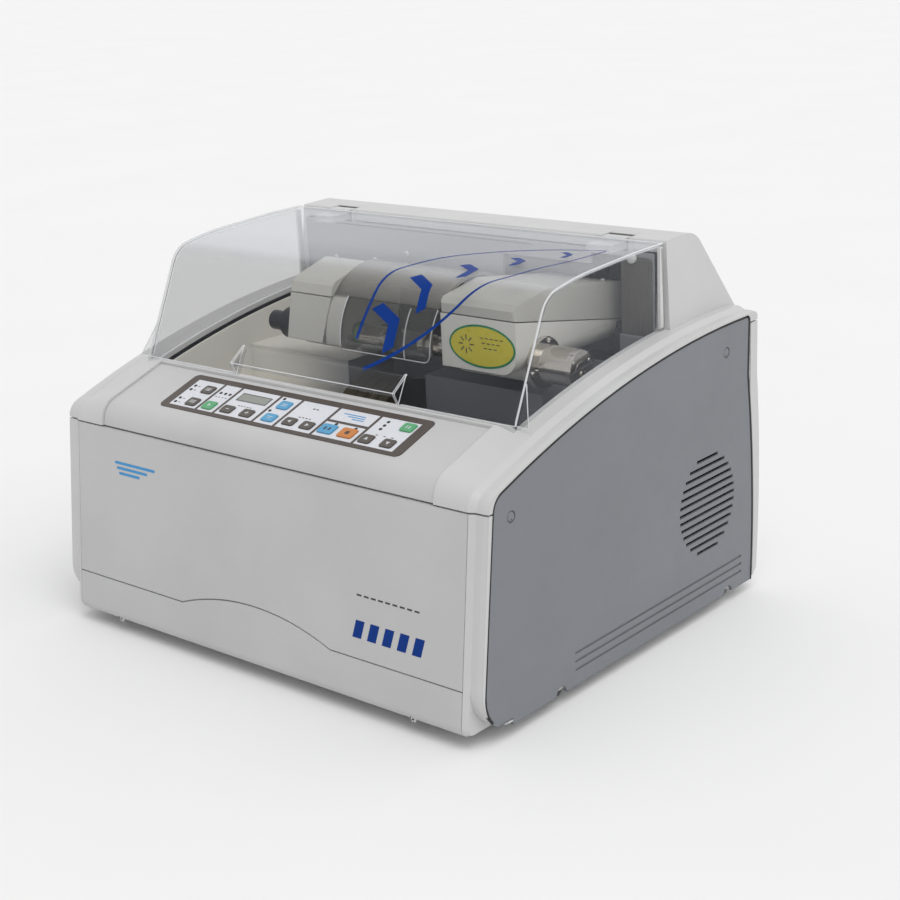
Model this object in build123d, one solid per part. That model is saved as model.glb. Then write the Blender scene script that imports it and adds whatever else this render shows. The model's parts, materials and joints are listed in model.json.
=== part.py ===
from build123d import *
import os
from math import sqrt, atan, cos, sin, radians

os.makedirs("parts", exist_ok=True)

# All sizes in millimetres. X runs to the right seen from the front, the front faces -Y,
# Z is up, and the bench surface is Z = 0.

# ---------------------------------------------------------------- driving dimensions
half_width = 265.0            # body half width over the side panels
body_z = 12.0                 # underside of the body above the bench
shell_wall = 5.0              # moulded cover wall
seam_gap = 1.5                # parting gap between covers

front_y0 = -220.6             # a point on the leaning front face
front_z0 = 53.3
front_lean = 0.115            # front face leans back this much per unit height
arch_y = 186.5                # centre of the large arch that forms the top line
arch_z0 = -796.2
arch_r = 1085.5


def front_y(z):
    return front_y0 + front_lean * (z - front_z0)


def arch_z(y, inset=0.0):
    return arch_z0 + sqrt((arch_r - inset) ** 2 - (y - arch_y) ** 2)


front_corner_r = 9.0          # lower corner of the front itself
body_corner_r = 40.0          # lower front corner of the side rims
brow_r = 20.0                 # rounded upper front corner
rear_top_y = 220.0
rear_bulge_y = 225.5
rear_low_y = 221.0
rear_foot_y = 215.0

rail_x = half_width - 19.0    # front and top surfaces run straight out to here
step_x = half_width - 12.0    # then bevel down to a step
step_drop = 2.8
rim_x = half_width - 5.0      # which ends in a second bevel round the side panel
rim_drop = 3.6

panel_thick = 3.0             # side panel sheet
panel_face_x = half_width - 0.8  # outer face of the side panels
panel_gap = 1.0               # shadow gap round a side panel
panel_frame = 9.0             # width of the seat behind a side panel
panel_seat_x = half_width - 7.0  # inner face of the body sides

seam_z = 204.0                # front parting line
rear_seam_y = 203.4           # parting line of the wrap round rear cover
rear_seam_z = 276.4

groove_z = 53.3               # groove between front panel and skirt
groove_half = 0.6
groove_rise = 17.3            # the groove arches up in the middle
groove_arch_x = 96.25
insert_x = rail_x + 0.4       # half width of the front inserts
insert_thick = 2.5
insert_recess = 0.3

deck_y = -121.0               # rear end of the sloping deck
deck_z = 251.0
deck_slope = 0.3295           # rise per unit depth
deck_x = half_width - 55.0    # half width of the control panel
deck_corner_r = 22.0
deck_recess = 2.2             # control panel lies below the deck by this
deck_sheet = 3.0              # control panel thickness
seat_z = 250.6                # level strip that the lid closes on

open_x = half_width - 39.0    # chamber opening half width
open_front_y = -116.0
open_rear_y = 104.0

lid_rear_z = 367.6            # top of the closed lid at its rear edge
lid_rear_y = 105.0
lid_x = half_width - 33.0     # lid half width
lid_sheet = 3.3
lid_foot = (-120.5, deck_z)
lid_brow = (-72.2, lid_rear_z - 12.8)
lid_brow_r = 30.0
lid_mid = (-24.0, lid_rear_z - 4.8)
lid_back = (62.0, lid_rear_z - 0.4)
lid_gap = 0.4                 # air under the closed lid
lid_hump_gap = 2.0            # air between the lid and the hump

hump_front_y = lid_rear_y + lid_hump_gap
hump_front_low_z = arch_z(hump_front_y) + 2.6
hump_front_top = (hump_front_y + 4.3, lid_rear_z)
hump_crest = (160.0, lid_rear_z + 1.4)
hump_tail_y = rear_top_y + 1.0
hump_crest_r = 26.0
hump_low_x = half_width - 28.0
hump_top_x = half_width - 34.2
hump_wall = 4.0

hinge_y = hump_front_top[0] + 6.7
hinge_z = lid_rear_z - 6.6
hinge_arm_x = 175.0           # centre of each hinge arm
hinge_arm_w = 28.0
hinge_pin_r = 3.0
pin_clear = 0.05              # running clearance on radius

scoop_x = 104.5               # half width of the finger hood on the lid
scoop_top = (-108.4, 277.0)
scoop_lip = (-128.0, 262.8)
scoop_sheet = 2.8

shaft_y = 1.0                 # lens shaft axis
shaft_z = 271.0
pivot_y = 140.0               # carriage pivot axis
pivot_z = 262.0
wheel_y = 5.0                 # grinding spindle axis
wheel_z = 170.0
wheel_r = 60.0
housing_r = 25.0              # tube that carries the grinding spindle
motor_y = 130.0               # drive motor axis
motor_z = 75.0
fan_y = 128.0                 # louvre centre and cooling fan axis
fan_z = 116.0
louvre_r = 50.0


# ---------------------------------------------------------------- helpers
def save(shape, node):
    # the origin lies on the bench under the middle of the body
    export_step(Pos(0, -centre_y, 0) * shape, "parts/" + node + ".step")


def box(x0, x1, y0, y1, z0, z1):
    return Pos((x0 + x1) / 2, (y0 + y1) / 2, (z0 + z1) / 2) * Box(x1 - x0, y1 - y0, z1 - z0)


def section_x(face, x):
    # a face drawn in (y, z) stood up at X = x
    return Pos(x, 0, 0) * (Plane.YZ * face)


def prism_x(face, x0, x1):
    # a face drawn in (y, z) swept along X
    return Pos(x0, 0, 0) * extrude(Plane.YZ * face, x1 - x0)


def poly_x(points, x0, x1):
    return prism_x(make_face(Polyline(*points, close=True)), x0, x1)


def rod_x(y, z, r, x0, x1):
    return Pos((x0 + x1) / 2, y, z) * Rot(0, 90, 0) * Cylinder(r, x1 - x0)


def rod_y(x, z, r, y0, y1):
    return Pos(x, (y0 + y1) / 2, z) * Rot(90, 0, 0) * Cylinder(r, y1 - y0)


def tube_x(y, z, r_out, r_in, x0, x1):
    return rod_x(y, z, r_out, x0, x1) - rod_x(y, z, r_in, x0 - 1, x1 + 1)


def near(vertices, y, z):
    # the drawn vertex closest to a point in the (y, z) sketch
    return vertices.sort_by_distance((y, z, 0))[0]


# ---------------------------------------------------------------- body outlines in (y, z)
brow_z = arch_z(front_y(217.4))
brow_y = front_y(brow_z)


def body_face(inset, corner_r=front_corner_r):
    # side outline of the whole body, set in evenly all round
    lean_n = sqrt(1 + front_lean ** 2)
    low_z = body_z + inset
    low_y = front_y(low_z) + inset * lean_n
    top_y = front_y(217.4) + inset * lean_n
    top_z = arch_z(top_y, inset)
    back_y = rear_top_y - inset
    back_z = arch_z(back_y, inset)
    mid_y = (top_y + back_y) / 2
    edges = [
        Line((low_y, low_z), (top_y, top_z)),
        ThreePointArc((top_y, top_z), (mid_y, arch_z(mid_y, inset)), (back_y, back_z)),
        Line((back_y, back_z), (back_y, 225.0)),
        ThreePointArc((back_y, 225.0), (rear_bulge_y - inset, 125.0), (rear_low_y - inset, 22.0)),
        Line((rear_low_y - inset, 22.0), (rear_foot_y - inset, low_z)),
        Line((rear_foot_y - inset, low_z), (low_y, low_z)),
    ]
    face = make_face(edges)
    face = fillet(near(face.vertices(), low_y, low_z), max(corner_r - inset, 1.0))
    face = fillet(near(face.vertices(), top_y, top_z), brow_r - inset)
    return fillet(near(face.vertices(), back_y, back_z), 9.0 - inset)


def panel_face():
    # outline of a grey side panel
    rim = 6.0
    front_rim = 8.0
    low_front = (front_y(body_z) + front_rim, body_z)
    front_top_y = brow_y + 9.6
    top_front = (front_top_y, arch_z(front_top_y, rim) + 0.3)
    rear_y = rear_top_y - 17.2
    top_rear = (rear_y, arch_z(rear_y, rim))
    edges = [
        Line(low_front, top_front),
        ThreePointArc(top_front, (0.0, arch_z(0.0, rim)), top_rear),
        Line(top_rear, (rear_y - 1.8, 225.0)),
        ThreePointArc((rear_y - 1.8, 225.0), (rear_y + 6.8, 130.0), (rear_y + 5.9, body_z)),
        Line((rear_y + 5.9, body_z), low_front),
    ]
    face = make_face(edges)
    face = fillet(near(face.vertices(), *low_front), body_corner_r - rim)
    hook = Pos(low_front[0], body_z) * Rectangle(2 * body_corner_r, 2 * rim)
    face -= hook
    face = fillet(near(face.vertices(), *top_front), brow_r - 2.0)
    return fillet(near(face.vertices(), *top_rear), 5.0)


def deck_face(inset, y_back):
    # profile of the raised deck, set in by an even amount
    slope_n = sqrt(1 + deck_slope ** 2)
    lean_n = sqrt(1 + front_lean ** 2)
    z_at_back = deck_z + deck_slope * (y_back - deck_y) - inset * slope_n
    y_low = front_y(seam_z) + inset * lean_n
    k = deck_z - deck_slope * deck_y - inset * slope_n
    corner_z = (k + deck_slope * (y_low - front_lean * seam_z)) / (1 - deck_slope * front_lean)
    corner_y = y_low + front_lean * (corner_z - seam_z)
    pts = [(y_low, seam_z), (corner_y, corner_z), (y_back, z_at_back), (y_back, seam_z)]
    face = make_face(Polyline(*pts, close=True))
    return fillet(near(face.vertices(), corner_y, corner_z), deck_corner_r - inset)


def rail_face(y_back):
    # the same deck where it has sunk to the arch at the body rail
    top = (y_back, arch_z(y_back))
    mid_y = (brow_y + y_back) / 2
    edges = [
        Line((front_y(seam_z), seam_z), (brow_y, brow_z)),
        ThreePointArc((brow_y, brow_z), (mid_y, arch_z(mid_y)), top),
        Line(top, (y_back, seam_z)),
        Line((y_back, seam_z), (front_y(seam_z), seam_z)),
    ]
    face = make_face(edges)
    return fillet(near(face.vertices(), brow_y, brow_z), brow_r)


# ---------------------------------------------------------------- body shell
outline = body_face(0)
side_face = panel_face()
core = prism_x(outline, -rail_x, rail_x)
step_face = body_face(step_drop, body_corner_r)
flank = loft([
    section_x(outline, rail_x),
    section_x(body_face(step_drop), step_x),
], ruled=True)
flank += prism_x(step_face, step_x, rim_x)
flank += loft([
    section_x(step_face, rim_x),
    section_x(body_face(rim_drop, body_corner_r), half_width),
], ruled=True)
body = core + flank + mirror(flank, Plane.YZ)
centre_y = body.bounding_box().center().Y

crown = prism_x(deck_face(0, open_front_y), -deck_x, deck_x)
wing = loft([
    section_x(deck_face(0, open_front_y), deck_x),
    section_x(rail_face(open_front_y), rail_x),
], ruled=True)
crowned = body + crown + wing + mirror(wing, Plane.YZ)
crowned -= box(-deck_x - 30, deck_x + 30, deck_y - 0.3, open_front_y, seat_z, seat_z + 20)
inner_x = step_x - shell_wall
inner = prism_x(body_face(shell_wall), -inner_x, inner_x)
inner += prism_x(body_face(step_drop + shell_wall, body_corner_r), -panel_seat_x, panel_seat_x)
pocket = prism_x(offset(side_face, amount=panel_gap), panel_face_x - panel_thick, half_width + 5)
window = prism_x(offset(side_face, amount=-panel_frame), panel_seat_x - 5, half_width)
side_cut = pocket + window
shell = crowned - inner - side_cut - mirror(side_cut, Plane.YZ)

gap = seam_gap / 2
far = 400.0
below_seam = box(-far, far, -far, rear_seam_y - gap, -10, seam_z - gap)
behind_seam = box(-far, far, rear_seam_y + gap, far, -10, rear_seam_z - gap)
above_seam = box(-far, far, -far, far, seam_z + gap, far)
above_seam -= box(-far, far, rear_seam_y - gap, far, -10, rear_seam_z + gap)

# ---------------------------------------------------------------- lower housing and front inserts
skin_in = body_face(insert_recess)
skin_out = body_face(insert_recess + insert_thick)
insert_back_y = front_y(body_z) + body_corner_r + 1.3
insert_zone = box(-far, far, -far, insert_back_y, body_z, seam_z - gap)
insert = prism_x(skin_in, -insert_x, insert_x) & insert_zone
insert -= prism_x(skin_out, -insert_x - 1, insert_x + 1)
slot = prism_x(skin_out, -insert_x - 0.4, insert_x + 0.4)
lower = shell & below_seam
recess = box(-insert_x - 0.4, insert_x + 0.4, -far, insert_back_y + 0.4, -10, seam_z) - slot
lower_housing = lower - recess
save(lower_housing, "lower_housing")


def below_groove(shift):
    edge = groove_z + shift
    side = far
    lines = [
        Line((-side, 0), (-side, edge)),
        Line((-side, edge), (-groove_arch_x, edge)),
        ThreePointArc((-groove_arch_x, edge), (0, edge + groove_rise), (groove_arch_x, edge)),
        Line((groove_arch_x, edge), (side, edge)),
        Line((side, edge), (side, 0)),
        Line((side, 0), (-side, 0)),
    ]
    face = Plane.XZ * make_face(lines)
    return extrude(face, far) + extrude(face, -far)


front_panel = insert - below_groove(groove_half)
front_skirt = insert & below_groove(-groove_half)
skirt_notch_x = 190.5
skirt_notch_r = 5.0
for side in (-1, 1):
    front_skirt -= rod_y(side * skirt_notch_x, body_z, skirt_notch_r, -far, 0)
save(front_panel, "front_panel")
save(front_skirt, "front_skirt")

# ---------------------------------------------------------------- side panels
slot_count = 13
slot_pitch = 7.6
slot_h = 3.2
panel = prism_x(side_face, panel_face_x - panel_thick, panel_face_x)
for i in range(slot_count):
    dz = (i - (slot_count - 1) / 2) * slot_pitch
    half = sqrt(louvre_r ** 2 - dz ** 2) - 2.0
    panel -= box(0, far, fan_y - half, fan_y + half, fan_z + dz - slot_h / 2, fan_z + dz + slot_h / 2)
line_depth = 1.2              # three lines moulded along the foot of the panel
line_half = 1.1
line_y0 = -88.0
line_y1 = 190.0
for line_z in (27.0, 35.0, 43.0):
    panel -= box(panel_face_x - line_depth, far, line_y0, line_y1, line_z - line_half, line_z + line_half)
notch_r = 7.5
for notch_y in (-109.1, 165.3):
    panel -= rod_x(notch_y, body_z, notch_r, rail_x, far)
cap_r = 5.2
cap_depth = 1.4
for cap_y, cap_z in ((-169.9, 194.6), (161.5, 256.1)):
    panel -= rod_x(cap_y, cap_z, cap_r, panel_face_x - cap_depth, far)
save(panel, "side_panel_right")
save(mirror(panel, Plane.YZ), "side_panel_left")

# ---------------------------------------------------------------- rear cover with services bay
bay_x0 = -215.0
bay_x1 = -125.0
bay_z0 = 30.0
bay_z1 = 84.0
bay_depth = 24.0
bay_wall = 2.5
inlet_x = 150.0
inlet_z = 60.0
rocker_x = 105.0
rear_cover = shell & behind_seam
rear_zone = box(bay_x0, bay_x1, rear_low_y - bay_depth, far, bay_z0, bay_z1)
bay = box(bay_x0 - bay_wall, bay_x1 + bay_wall, rear_low_y - bay_depth - bay_wall, 222.0,
          bay_z0 - bay_wall, bay_z1 + bay_wall)
rear_cover = rear_cover + (bay & body) - rear_zone
vent_columns = 9
vent_x0 = -104.0
vent_pitch = 26.0
vent_w = 16.0
vent_h = 4.0
for i in range(vent_columns):
    vx = vent_x0 + vent_pitch * i
    for vz in (128.0, 140.0, 152.0):
        rear_cover -= box(vx, vx + vent_w, 200, far, vz, vz + vent_h)
flange_y = 222.9
rear_cover -= box(rocker_x - 10.3, inlet_x + 18.3, flange_y, far, inlet_z - 16.3, inlet_z + 16.3)
rear_cover -= box(inlet_x - 14, inlet_x + 14, 200, far, inlet_z - 12, inlet_z + 12)
rear_cover -= box(rocker_x - 7.0, rocker_x + 7.0, 200, far, inlet_z - 12, inlet_z + 12)

# ---------------------------------------------------------------- top cover with hinge hump
hump_base_z = hump_front_low_z - 27.0
hump_pts = [
    (hump_front_y, hump_base_z),
    (hump_front_y, hump_front_low_z),
    hump_front_top,
    hump_crest,
    (hump_tail_y, arch_z(hump_tail_y) - 2.4),
    (hump_tail_y, hump_base_z),
]
hump_face = make_face(Polyline(*hump_pts, close=True))
hump_face = fillet(near(hump_face.vertices(), *hump_crest), hump_crest_r)
hump_face = fillet(near(hump_face.vertices(), *hump_front_top), 2.5)


def hump_taper(inset):
    low = hump_low_x - inset
    top = hump_top_x - inset
    slope = (hump_low_x - hump_top_x) / (hump_front_top[1] - hump_front_low_z)
    low_z = 240.0
    high_z = 380.0
    x_low = low + slope * (hump_front_low_z - low_z)
    x_high = top - slope * (high_z - hump_front_top[1])
    pts = [(-x_low, low_z), (x_low, low_z), (x_high, high_z), (-x_high, high_z)]
    face = Plane.XZ * make_face(Polyline(*pts, close=True))
    return extrude(face, far) + extrude(face, -far)


hump = prism_x(hump_face, -far, far) & hump_taper(0)
hump_void = prism_x(offset(hump_face, amount=-hump_wall), -far, far) & hump_taper(hump_wall)
hump_void &= box(-open_x, open_x, -far, far, 0, far)
wall_open_x = open_x - 4.0
wall_open_z = lid_rear_z - 11.1
deck_hole = box(-open_x, open_x, open_front_y, open_rear_y, 150, far)
well = box(-wall_open_x, wall_open_x, open_rear_y - 1, 190.0, 230, 300)
mouth = box(-wall_open_x, wall_open_x, open_rear_y - 1, hump_front_y + 12, 230, wall_open_z)
top_cover = (shell & above_seam) - deck_hole + (hump & above_seam & box(-far, far, 0, 220.5, arch_z(140) - 4, far))
top_cover = top_cover - hump_void - well - mouth
notch_w = hinge_arm_w + 2.0
boss_w = 6.0
for side in (-1, 1):
    nx = side * hinge_arm_x
    half = notch_w / 2
    cheek_y = hinge_y + 13.0
    cheek = box(nx - half - boss_w, nx + half + boss_w, hump_front_y + 3, cheek_y, hinge_z - 8, lid_rear_z - 0.6)
    top_cover += cheek
    top_cover -= box(nx - half, nx + half, 100, cheek_y + 1, hinge_z - 11, far)
    top_cover -= rod_x(hinge_y, hinge_z, hinge_pin_r + pin_clear, nx - half - boss_w + 1, nx + half + boss_w - 1)

# control panel insert and its pocket
trough = deck_face(deck_recess + deck_sheet, deck_y - 2.0)
pocket_front = box(-deck_x, deck_x, -far, deck_y - 2.0, seam_z - 5, far) - prism_x(trough, -far, far)
pocket_front -= box(-far, far, front_y(seam_z) + 12, deck_y, seam_z - 10, 214.0)
top_cover -= pocket_front
save(top_cover, "top_cover")
save(rear_cover, "rear_cover")

panel_insert = prism_x(deck_face(deck_recess, deck_y - 2.4), -deck_x + 0.4, deck_x - 0.4)
panel_insert -= prism_x(trough, -far, far)
panel_insert &= box(-far, far, -far, far, seam_z + gap, far)

# ---------------------------------------------------------------- keypad
slope_angle = atan(deck_slope)
key_plane = Plane(
    origin=(0, deck_y, deck_z),
    x_dir=(1, 0, 0),
    z_dir=(0, -sin(slope_angle), cos(slope_angle)),
)
pad_floor = -4.2              # keypad pocket floor below the deck line
pad_top = -1.7                # dark frame top
plate_top = -1.5              # white plates stand a little higher
key_top = -0.4
key_low = -3.3
key_gap = 0.35


def pad(u, v, w, h, r, low, high):
    face = RectangleRounded(w, h, r) if r else Rectangle(w, h)
    return key_plane * Pos(u, v, low) * extrude(face, high - low)


pad_margin = 10.8             # dark border left and right of the white plates
pad_v = -36.3
pad_left = -150.0
cell_gap = 3.4                # dark strip between plates
section_v = -37.8
section_h = 42.5
window_h = 17.4               # blank plate above the wide keys
pad_h = section_h + 12.5
cell_widths = [35.0, 20.3, 48.5, 24.0, 43.0, 46.4, 44.9]
window_cell = 5
pad_w = 2 * pad_margin + sum(cell_widths) + (len(cell_widths) - 1) * cell_gap
pad_u = pad_left + pad_w / 2
panel_insert -= pad(pad_u, pad_v, pad_w + 0.4, pad_h + 0.4, 6.2, pad_floor, 5.0)
save(panel_insert, "control_panel")

frame = pad(pad_u, pad_v, pad_w, pad_h, 6.0, pad_floor, pad_top)
plates = None
cells = []
cell_left = pad_left + pad_margin
for i, w in enumerate(cell_widths):
    u = cell_left + w / 2
    if i == window_cell:
        low_h = section_h - window_h - cell_gap
        cells.append((u, section_v + (section_h - window_h) / 2, w, window_h))
        cells.append((u, section_v - (section_h - low_h) / 2, w, low_h))
    else:
        cells.append((u, section_v, w, section_h))
    cell_left += w + cell_gap
for u, v, w, h in cells:
    frame -= pad(u, v, w, h, 0, pad_floor - 1, 5.0)
    piece = pad(u, v, w, h, 0, pad_floor, plate_top)
    plates = piece if plates is None else plates + piece

# name, plate, place across and up from the plate's middle, width, height
key_low_v = -12.6
keys = [
    ("key_menu", 0, 7.9, 8.5, 13.5, 11.5),
    ("key_select", 0, 7.1, key_low_v, 13.5, 11.5),
    ("key_start_green", 1, -1.1, key_low_v, 13.5, 11.7),
    ("key_minus", 2, -14.2, key_low_v, 14.0, 10.6),
    ("key_plus", 2, 11.5, key_low_v, 14.0, 10.8),
    ("key_blue_upper", 3, 1.0, 8.7, 13.8, 11.5),
    ("key_blue_lower", 3, 0.6, -11.9, 14.6, 11.0),
    ("key_left", 4, -11.0, -11.3, 13.5, 10.7),
    ("key_right", 4, 11.0, -11.6, 13.7, 10.5),
    ("key_blue_wide", 6, -13.0, 0.0, 16.8, 13.0),
    ("key_orange", 6, 10.9, 0.0, 16.9, 13.0),
    ("key_go_green", 7, 13.5, 13.0, 13.7, 11.4),
    ("key_up", 7, -13.9, key_low_v, 13.2, 11.6),
    ("key_down", 7, 10.9, key_low_v, 13.2, 11.2),
]
for name, cell, du, dv, w, h in keys:
    u = cells[cell][0] + du
    v = cells[cell][1] + dv
    plates -= pad(u, v, w + 2 * key_gap, h + 2 * key_gap, 2.3, pad_floor - 1, 5.0)
    save(pad(u, v, w, h, 2.0, key_low, key_top), name)
screen = (cells[2][0] + 0.9, cells[2][1] + 8.8, 38.0, 11.4)
plates -= pad(*screen, 1.0, pad_floor - 1, 5.0)
save(pad(*screen, 1.0, pad_floor, plate_top + 0.2), "display_window")
save(frame, "keypad_frame")
save(plates, "keypad_plates")

# ---------------------------------------------------------------- base, feet, services
base_top = body_z + shell_wall + 3.0
base_plate = box(-panel_seat_x + 13, panel_seat_x - 13, insert_back_y + 3, 200, body_z + shell_wall, base_top)
save(base_plate, "base_plate")
feet = None
for fx in (-190.0, 190.0):
    for fy in (-150.0, 150.0):
        foot = Pos(fx, fy, body_z / 2) * Cylinder(15.0, body_z)
        foot = chamfer(foot.faces().sort_by(Axis.Z)[0].edges(), 1.5)
        feet = foot if feet is None else feet + foot
save(feet, "rubber_feet")

inlet = box(inlet_x - 13.5, inlet_x + 13.5, 196.0, flange_y + 0.1, inlet_z - 11.5, inlet_z + 11.5)
inlet += box(rocker_x - 10, inlet_x + 18, flange_y, flange_y + 2.0, inlet_z - 16, inlet_z + 16)
inlet -= box(inlet_x - 10, inlet_x + 10, 208.0, 226.0, inlet_z - 7.5, inlet_z + 7.5)
for px, pz in ((-6.5, -2.0), (6.5, -2.0), (0.0, 2.5)):
    inlet += box(inlet_x + px - 1, inlet_x + px + 1, 207.0, 217.0, inlet_z + pz - 2, inlet_z + pz + 2)
inlet += box(rocker_x - 6.8, rocker_x + 6.8, 198.0, flange_y + 0.1, inlet_z - 11.5, inlet_z + 11.5)
inlet -= box(rocker_x - 5.5, rocker_x + 5.5, 204.0, 230.0, inlet_z - 10.2, inlet_z + 10.2)
save(inlet, "power_inlet")
rocker_axis_y = 219.5
rocker = poly_x([
    (rocker_axis_y - 5, inlet_z - 5),
    (rocker_axis_y + 4.5, inlet_z - 9.4),
    (rocker_axis_y + 3.0, inlet_z),
    (rocker_axis_y + 4.5, inlet_z + 9.4),
    (rocker_axis_y - 5, inlet_z + 5),
], rocker_x - 5.1, rocker_x + 5.1)
rocker += rod_x(rocker_axis_y, inlet_z, 3.6, rocker_x - 5.3, rocker_x + 5.3)
save(rocker, "power_rocker")

fitting_y = rear_low_y - bay_depth
fittings = None
for fx, fz, fr in ((-150.0, 62.0, 5.0), (-186.0, 54.0, 8.0)):
    barb = rod_y(fx, fz, fr + 4.0, fitting_y, fitting_y + 5.0) + rod_y(fx, fz, fr, fitting_y + 4.0, 219.0)
    barb += rod_y(fx, fz, fr + 1.0, 215.0, 217.0)
    barb -= rod_y(fx, fz, fr - 1.8, fitting_y + 3, 230)
    fittings = barb if fittings is None else fittings + barb
save(fittings, "hose_fittings")

# ---------------------------------------------------------------- grinding chamber tray
tray_x = open_x - 2.0
tray_wall = 2.5
tray_y0 = open_front_y + 3.0
tray_y1 = open_rear_y - 1.5
trough_z = 199.0              # floor of the front trough
shelf_z = 237.0               # raised shelves under the lens carriage
shelf_y = 10.0
shelf_right_x1 = 162.0
sump_x0 = -82.0
sump_x1 = 20.0
sump_y0 = -70.0
sump_y1 = 76.0
sump_z = 98.0
tray_top = prism_x(body_face(shell_wall + 3.0), -tray_x, tray_x)
tray = tray_top & box(-far, far, tray_y0, tray_y1, trough_z - tray_wall, far)
tray -= box(-tray_x + tray_wall, tray_x - tray_wall, tray_y0 + tray_wall, shelf_y, trough_z, far)
tray -= box(-tray_x + tray_wall, tray_x - tray_wall, shelf_y - 1, tray_y1 - tray_wall, shelf_z, far)
tray -= box(shelf_right_x1, tray_x - tray_wall, shelf_y - 1, tray_y1 - tray_wall, trough_z, far)
under_z = shelf_z - tray_wall
for x0, x1 in ((-tray_x, sump_x0 - tray_wall), (sump_x1 + tray_wall, shelf_right_x1 - tray_wall)):
    tray -= box(x0, x1, shelf_y + tray_wall, tray_y1 + 1, trough_z - 10, under_z)
tray += box(sump_x0 - tray_wall, sump_x1 + tray_wall, sump_y0 - tray_wall, sump_y1 + tray_wall,
            sump_z - tray_wall, trough_z - 0.5)
tray -= box(sump_x0, sump_x1, sump_y0, sump_y1, sump_z, far)
carriage_pass_x0 = -150.0
carriage_pass_x1 = 186.0
tray -= box(carriage_pass_x0, carriage_pass_x1, tray_y1 - 5, tray_y1 + 5, shelf_z + 12, far)
tray -= rod_x(wheel_y, wheel_z, housing_r + 1.0, sump_x0 - 6, sump_x0 + 1)
save(tray, "chamber_tray")

# rear splash wall closing the mouth of the hump
wall_y0 = open_rear_y
wall_fit = 0.5
wall_sheet = 2.5
wall_y1 = wall_y0 + wall_sheet
wall_low_z = 262.0
beam_pass_z = 306.0           # cut-outs that the lens carriage swings and slides through
lobe_pass_x0 = 46.0
lobe_pass_z = 341.0
window_x0 = 152.0
window_x1 = 216.0
window_z = 329.0
splash_wall = box(-wall_open_x + wall_fit, wall_open_x - wall_fit, wall_y0, wall_y1, wall_low_z,
                  wall_open_z - wall_fit)
splash_wall -= box(carriage_pass_x0, carriage_pass_x1, wall_y0 - 1, wall_y1 + 1, 0, beam_pass_z)
splash_wall -= box(lobe_pass_x0, carriage_pass_x1, wall_y0 - 1, wall_y1 + 1, 0, lobe_pass_z)
splash_wall -= box(window_x0, window_x1, wall_y0 - 1, wall_y1 + 1, window_z, wall_open_z - 5.0)
save(splash_wall, "splash_wall")

# ---------------------------------------------------------------- grinding spindle and drive
housing_x0 = -205.0
housing_x1 = -58.0
spindle_r = 10.0
spindle_housing = tube_x(wheel_y, wheel_z, housing_r, spindle_r + pin_clear, housing_x0, housing_x1)
pedestal_x0 = -196.0
pedestal_x1 = -92.0
pedestal_half = 22.0
pedestal = box(pedestal_x0, pedestal_x1, wheel_y - pedestal_half, wheel_y + pedestal_half, base_top, wheel_z - 10)
pedestal -= rod_x(wheel_y, wheel_z, housing_r - 1.0, housing_x0, housing_x1)
spindle_housing += pedestal
save(spindle_housing, "spindle_housing")

pulley_x0 = -panel_seat_x + 6.0
pulley_x1 = pulley_x0 + 14.0
spindle_pulley_r = 18.0
motor_pulley_r = 26.0
wheel_widths = [16.0, 12.0, 14.0, 12.0]
wheel_x0 = -52.0
wheel_seat = wheel_r - 2.0    # thin flanges between the rings
ring_gap = 1.0
groove_ring = 2
groove_depth = 1.6
rim = []
x = wheel_x0
for i, w in enumerate(wheel_widths):
    rim.append((x, wheel_r))
    if i == groove_ring:
        rim.append((x + w / 2 - groove_depth, wheel_r))
        rim.append((x + w / 2, wheel_r - groove_depth))
        rim.append((x + w / 2 + groove_depth, wheel_r))
    rim.append((x + w, wheel_r))
    x += w
    if i < len(wheel_widths) - 1:
        rim.append((x, wheel_seat))
        rim.append((x + ring_gap, wheel_seat))
        x += ring_gap
wheel_x1 = x
profile = make_face(Polyline(*rim, (wheel_x1, spindle_r), (wheel_x0, spindle_r), close=True))
wheels = Pos(0, wheel_y, wheel_z) * revolve(profile, Axis.X)
save(wheels, "grinding_wheels")
spindle_shaft = rod_x(wheel_y, wheel_z, spindle_r, pulley_x0, wheel_x1 + 8)
spindle_shaft += rod_x(wheel_y, wheel_z, 17.0, wheel_x0 - 3.5, wheel_x0)
spindle_shaft += rod_x(wheel_y, wheel_z, 15.0, wheel_x1, wheel_x1 + 7)
spindle_shaft += rod_x(wheel_y, wheel_z, spindle_pulley_r, pulley_x0 + 1, pulley_x1 - 1)
for fx in (pulley_x0, pulley_x1 - 1):
    spindle_shaft += rod_x(wheel_y, wheel_z, spindle_pulley_r + 3, fx, fx + 1)
save(spindle_shaft, "spindle_shaft")

motor_r = 50.0
motor_shaft_r = 7.0
motor_x0 = -200.0
motor_x1 = -60.0
motor_bell = 28.0             # length of each end bell
motor_bore_x = -170.0
motor_foot_x0 = -180.0
motor_foot_x1 = -80.0
main_motor = rod_x(motor_y, motor_z, motor_r - 3.0, motor_x0, motor_x1)
for fx in (motor_x0, motor_x1 - motor_bell):
    main_motor += rod_x(motor_y, motor_z, motor_r, fx, fx + motor_bell)
main_motor += box(motor_foot_x0, motor_foot_x1, motor_y - 40, motor_y + 40, base_top, base_top + 8)
main_motor += box(motor_foot_x0, motor_foot_x1, motor_y - 30, motor_y + 30, base_top + 7, motor_z - 36)
main_motor += rod_x(motor_y, motor_z, 18.0, motor_x0 - 3.5, motor_x0 + 1)
main_motor -= rod_x(motor_y, motor_z, motor_shaft_r + pin_clear, motor_x0 - 7, motor_bore_x)
save(main_motor, "main_motor")
motor_pulley = rod_x(motor_y, motor_z, motor_shaft_r, pulley_x0, motor_bore_x - 2)
motor_pulley += rod_x(motor_y, motor_z, motor_pulley_r, pulley_x0 + 1, pulley_x1 - 1)
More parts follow.
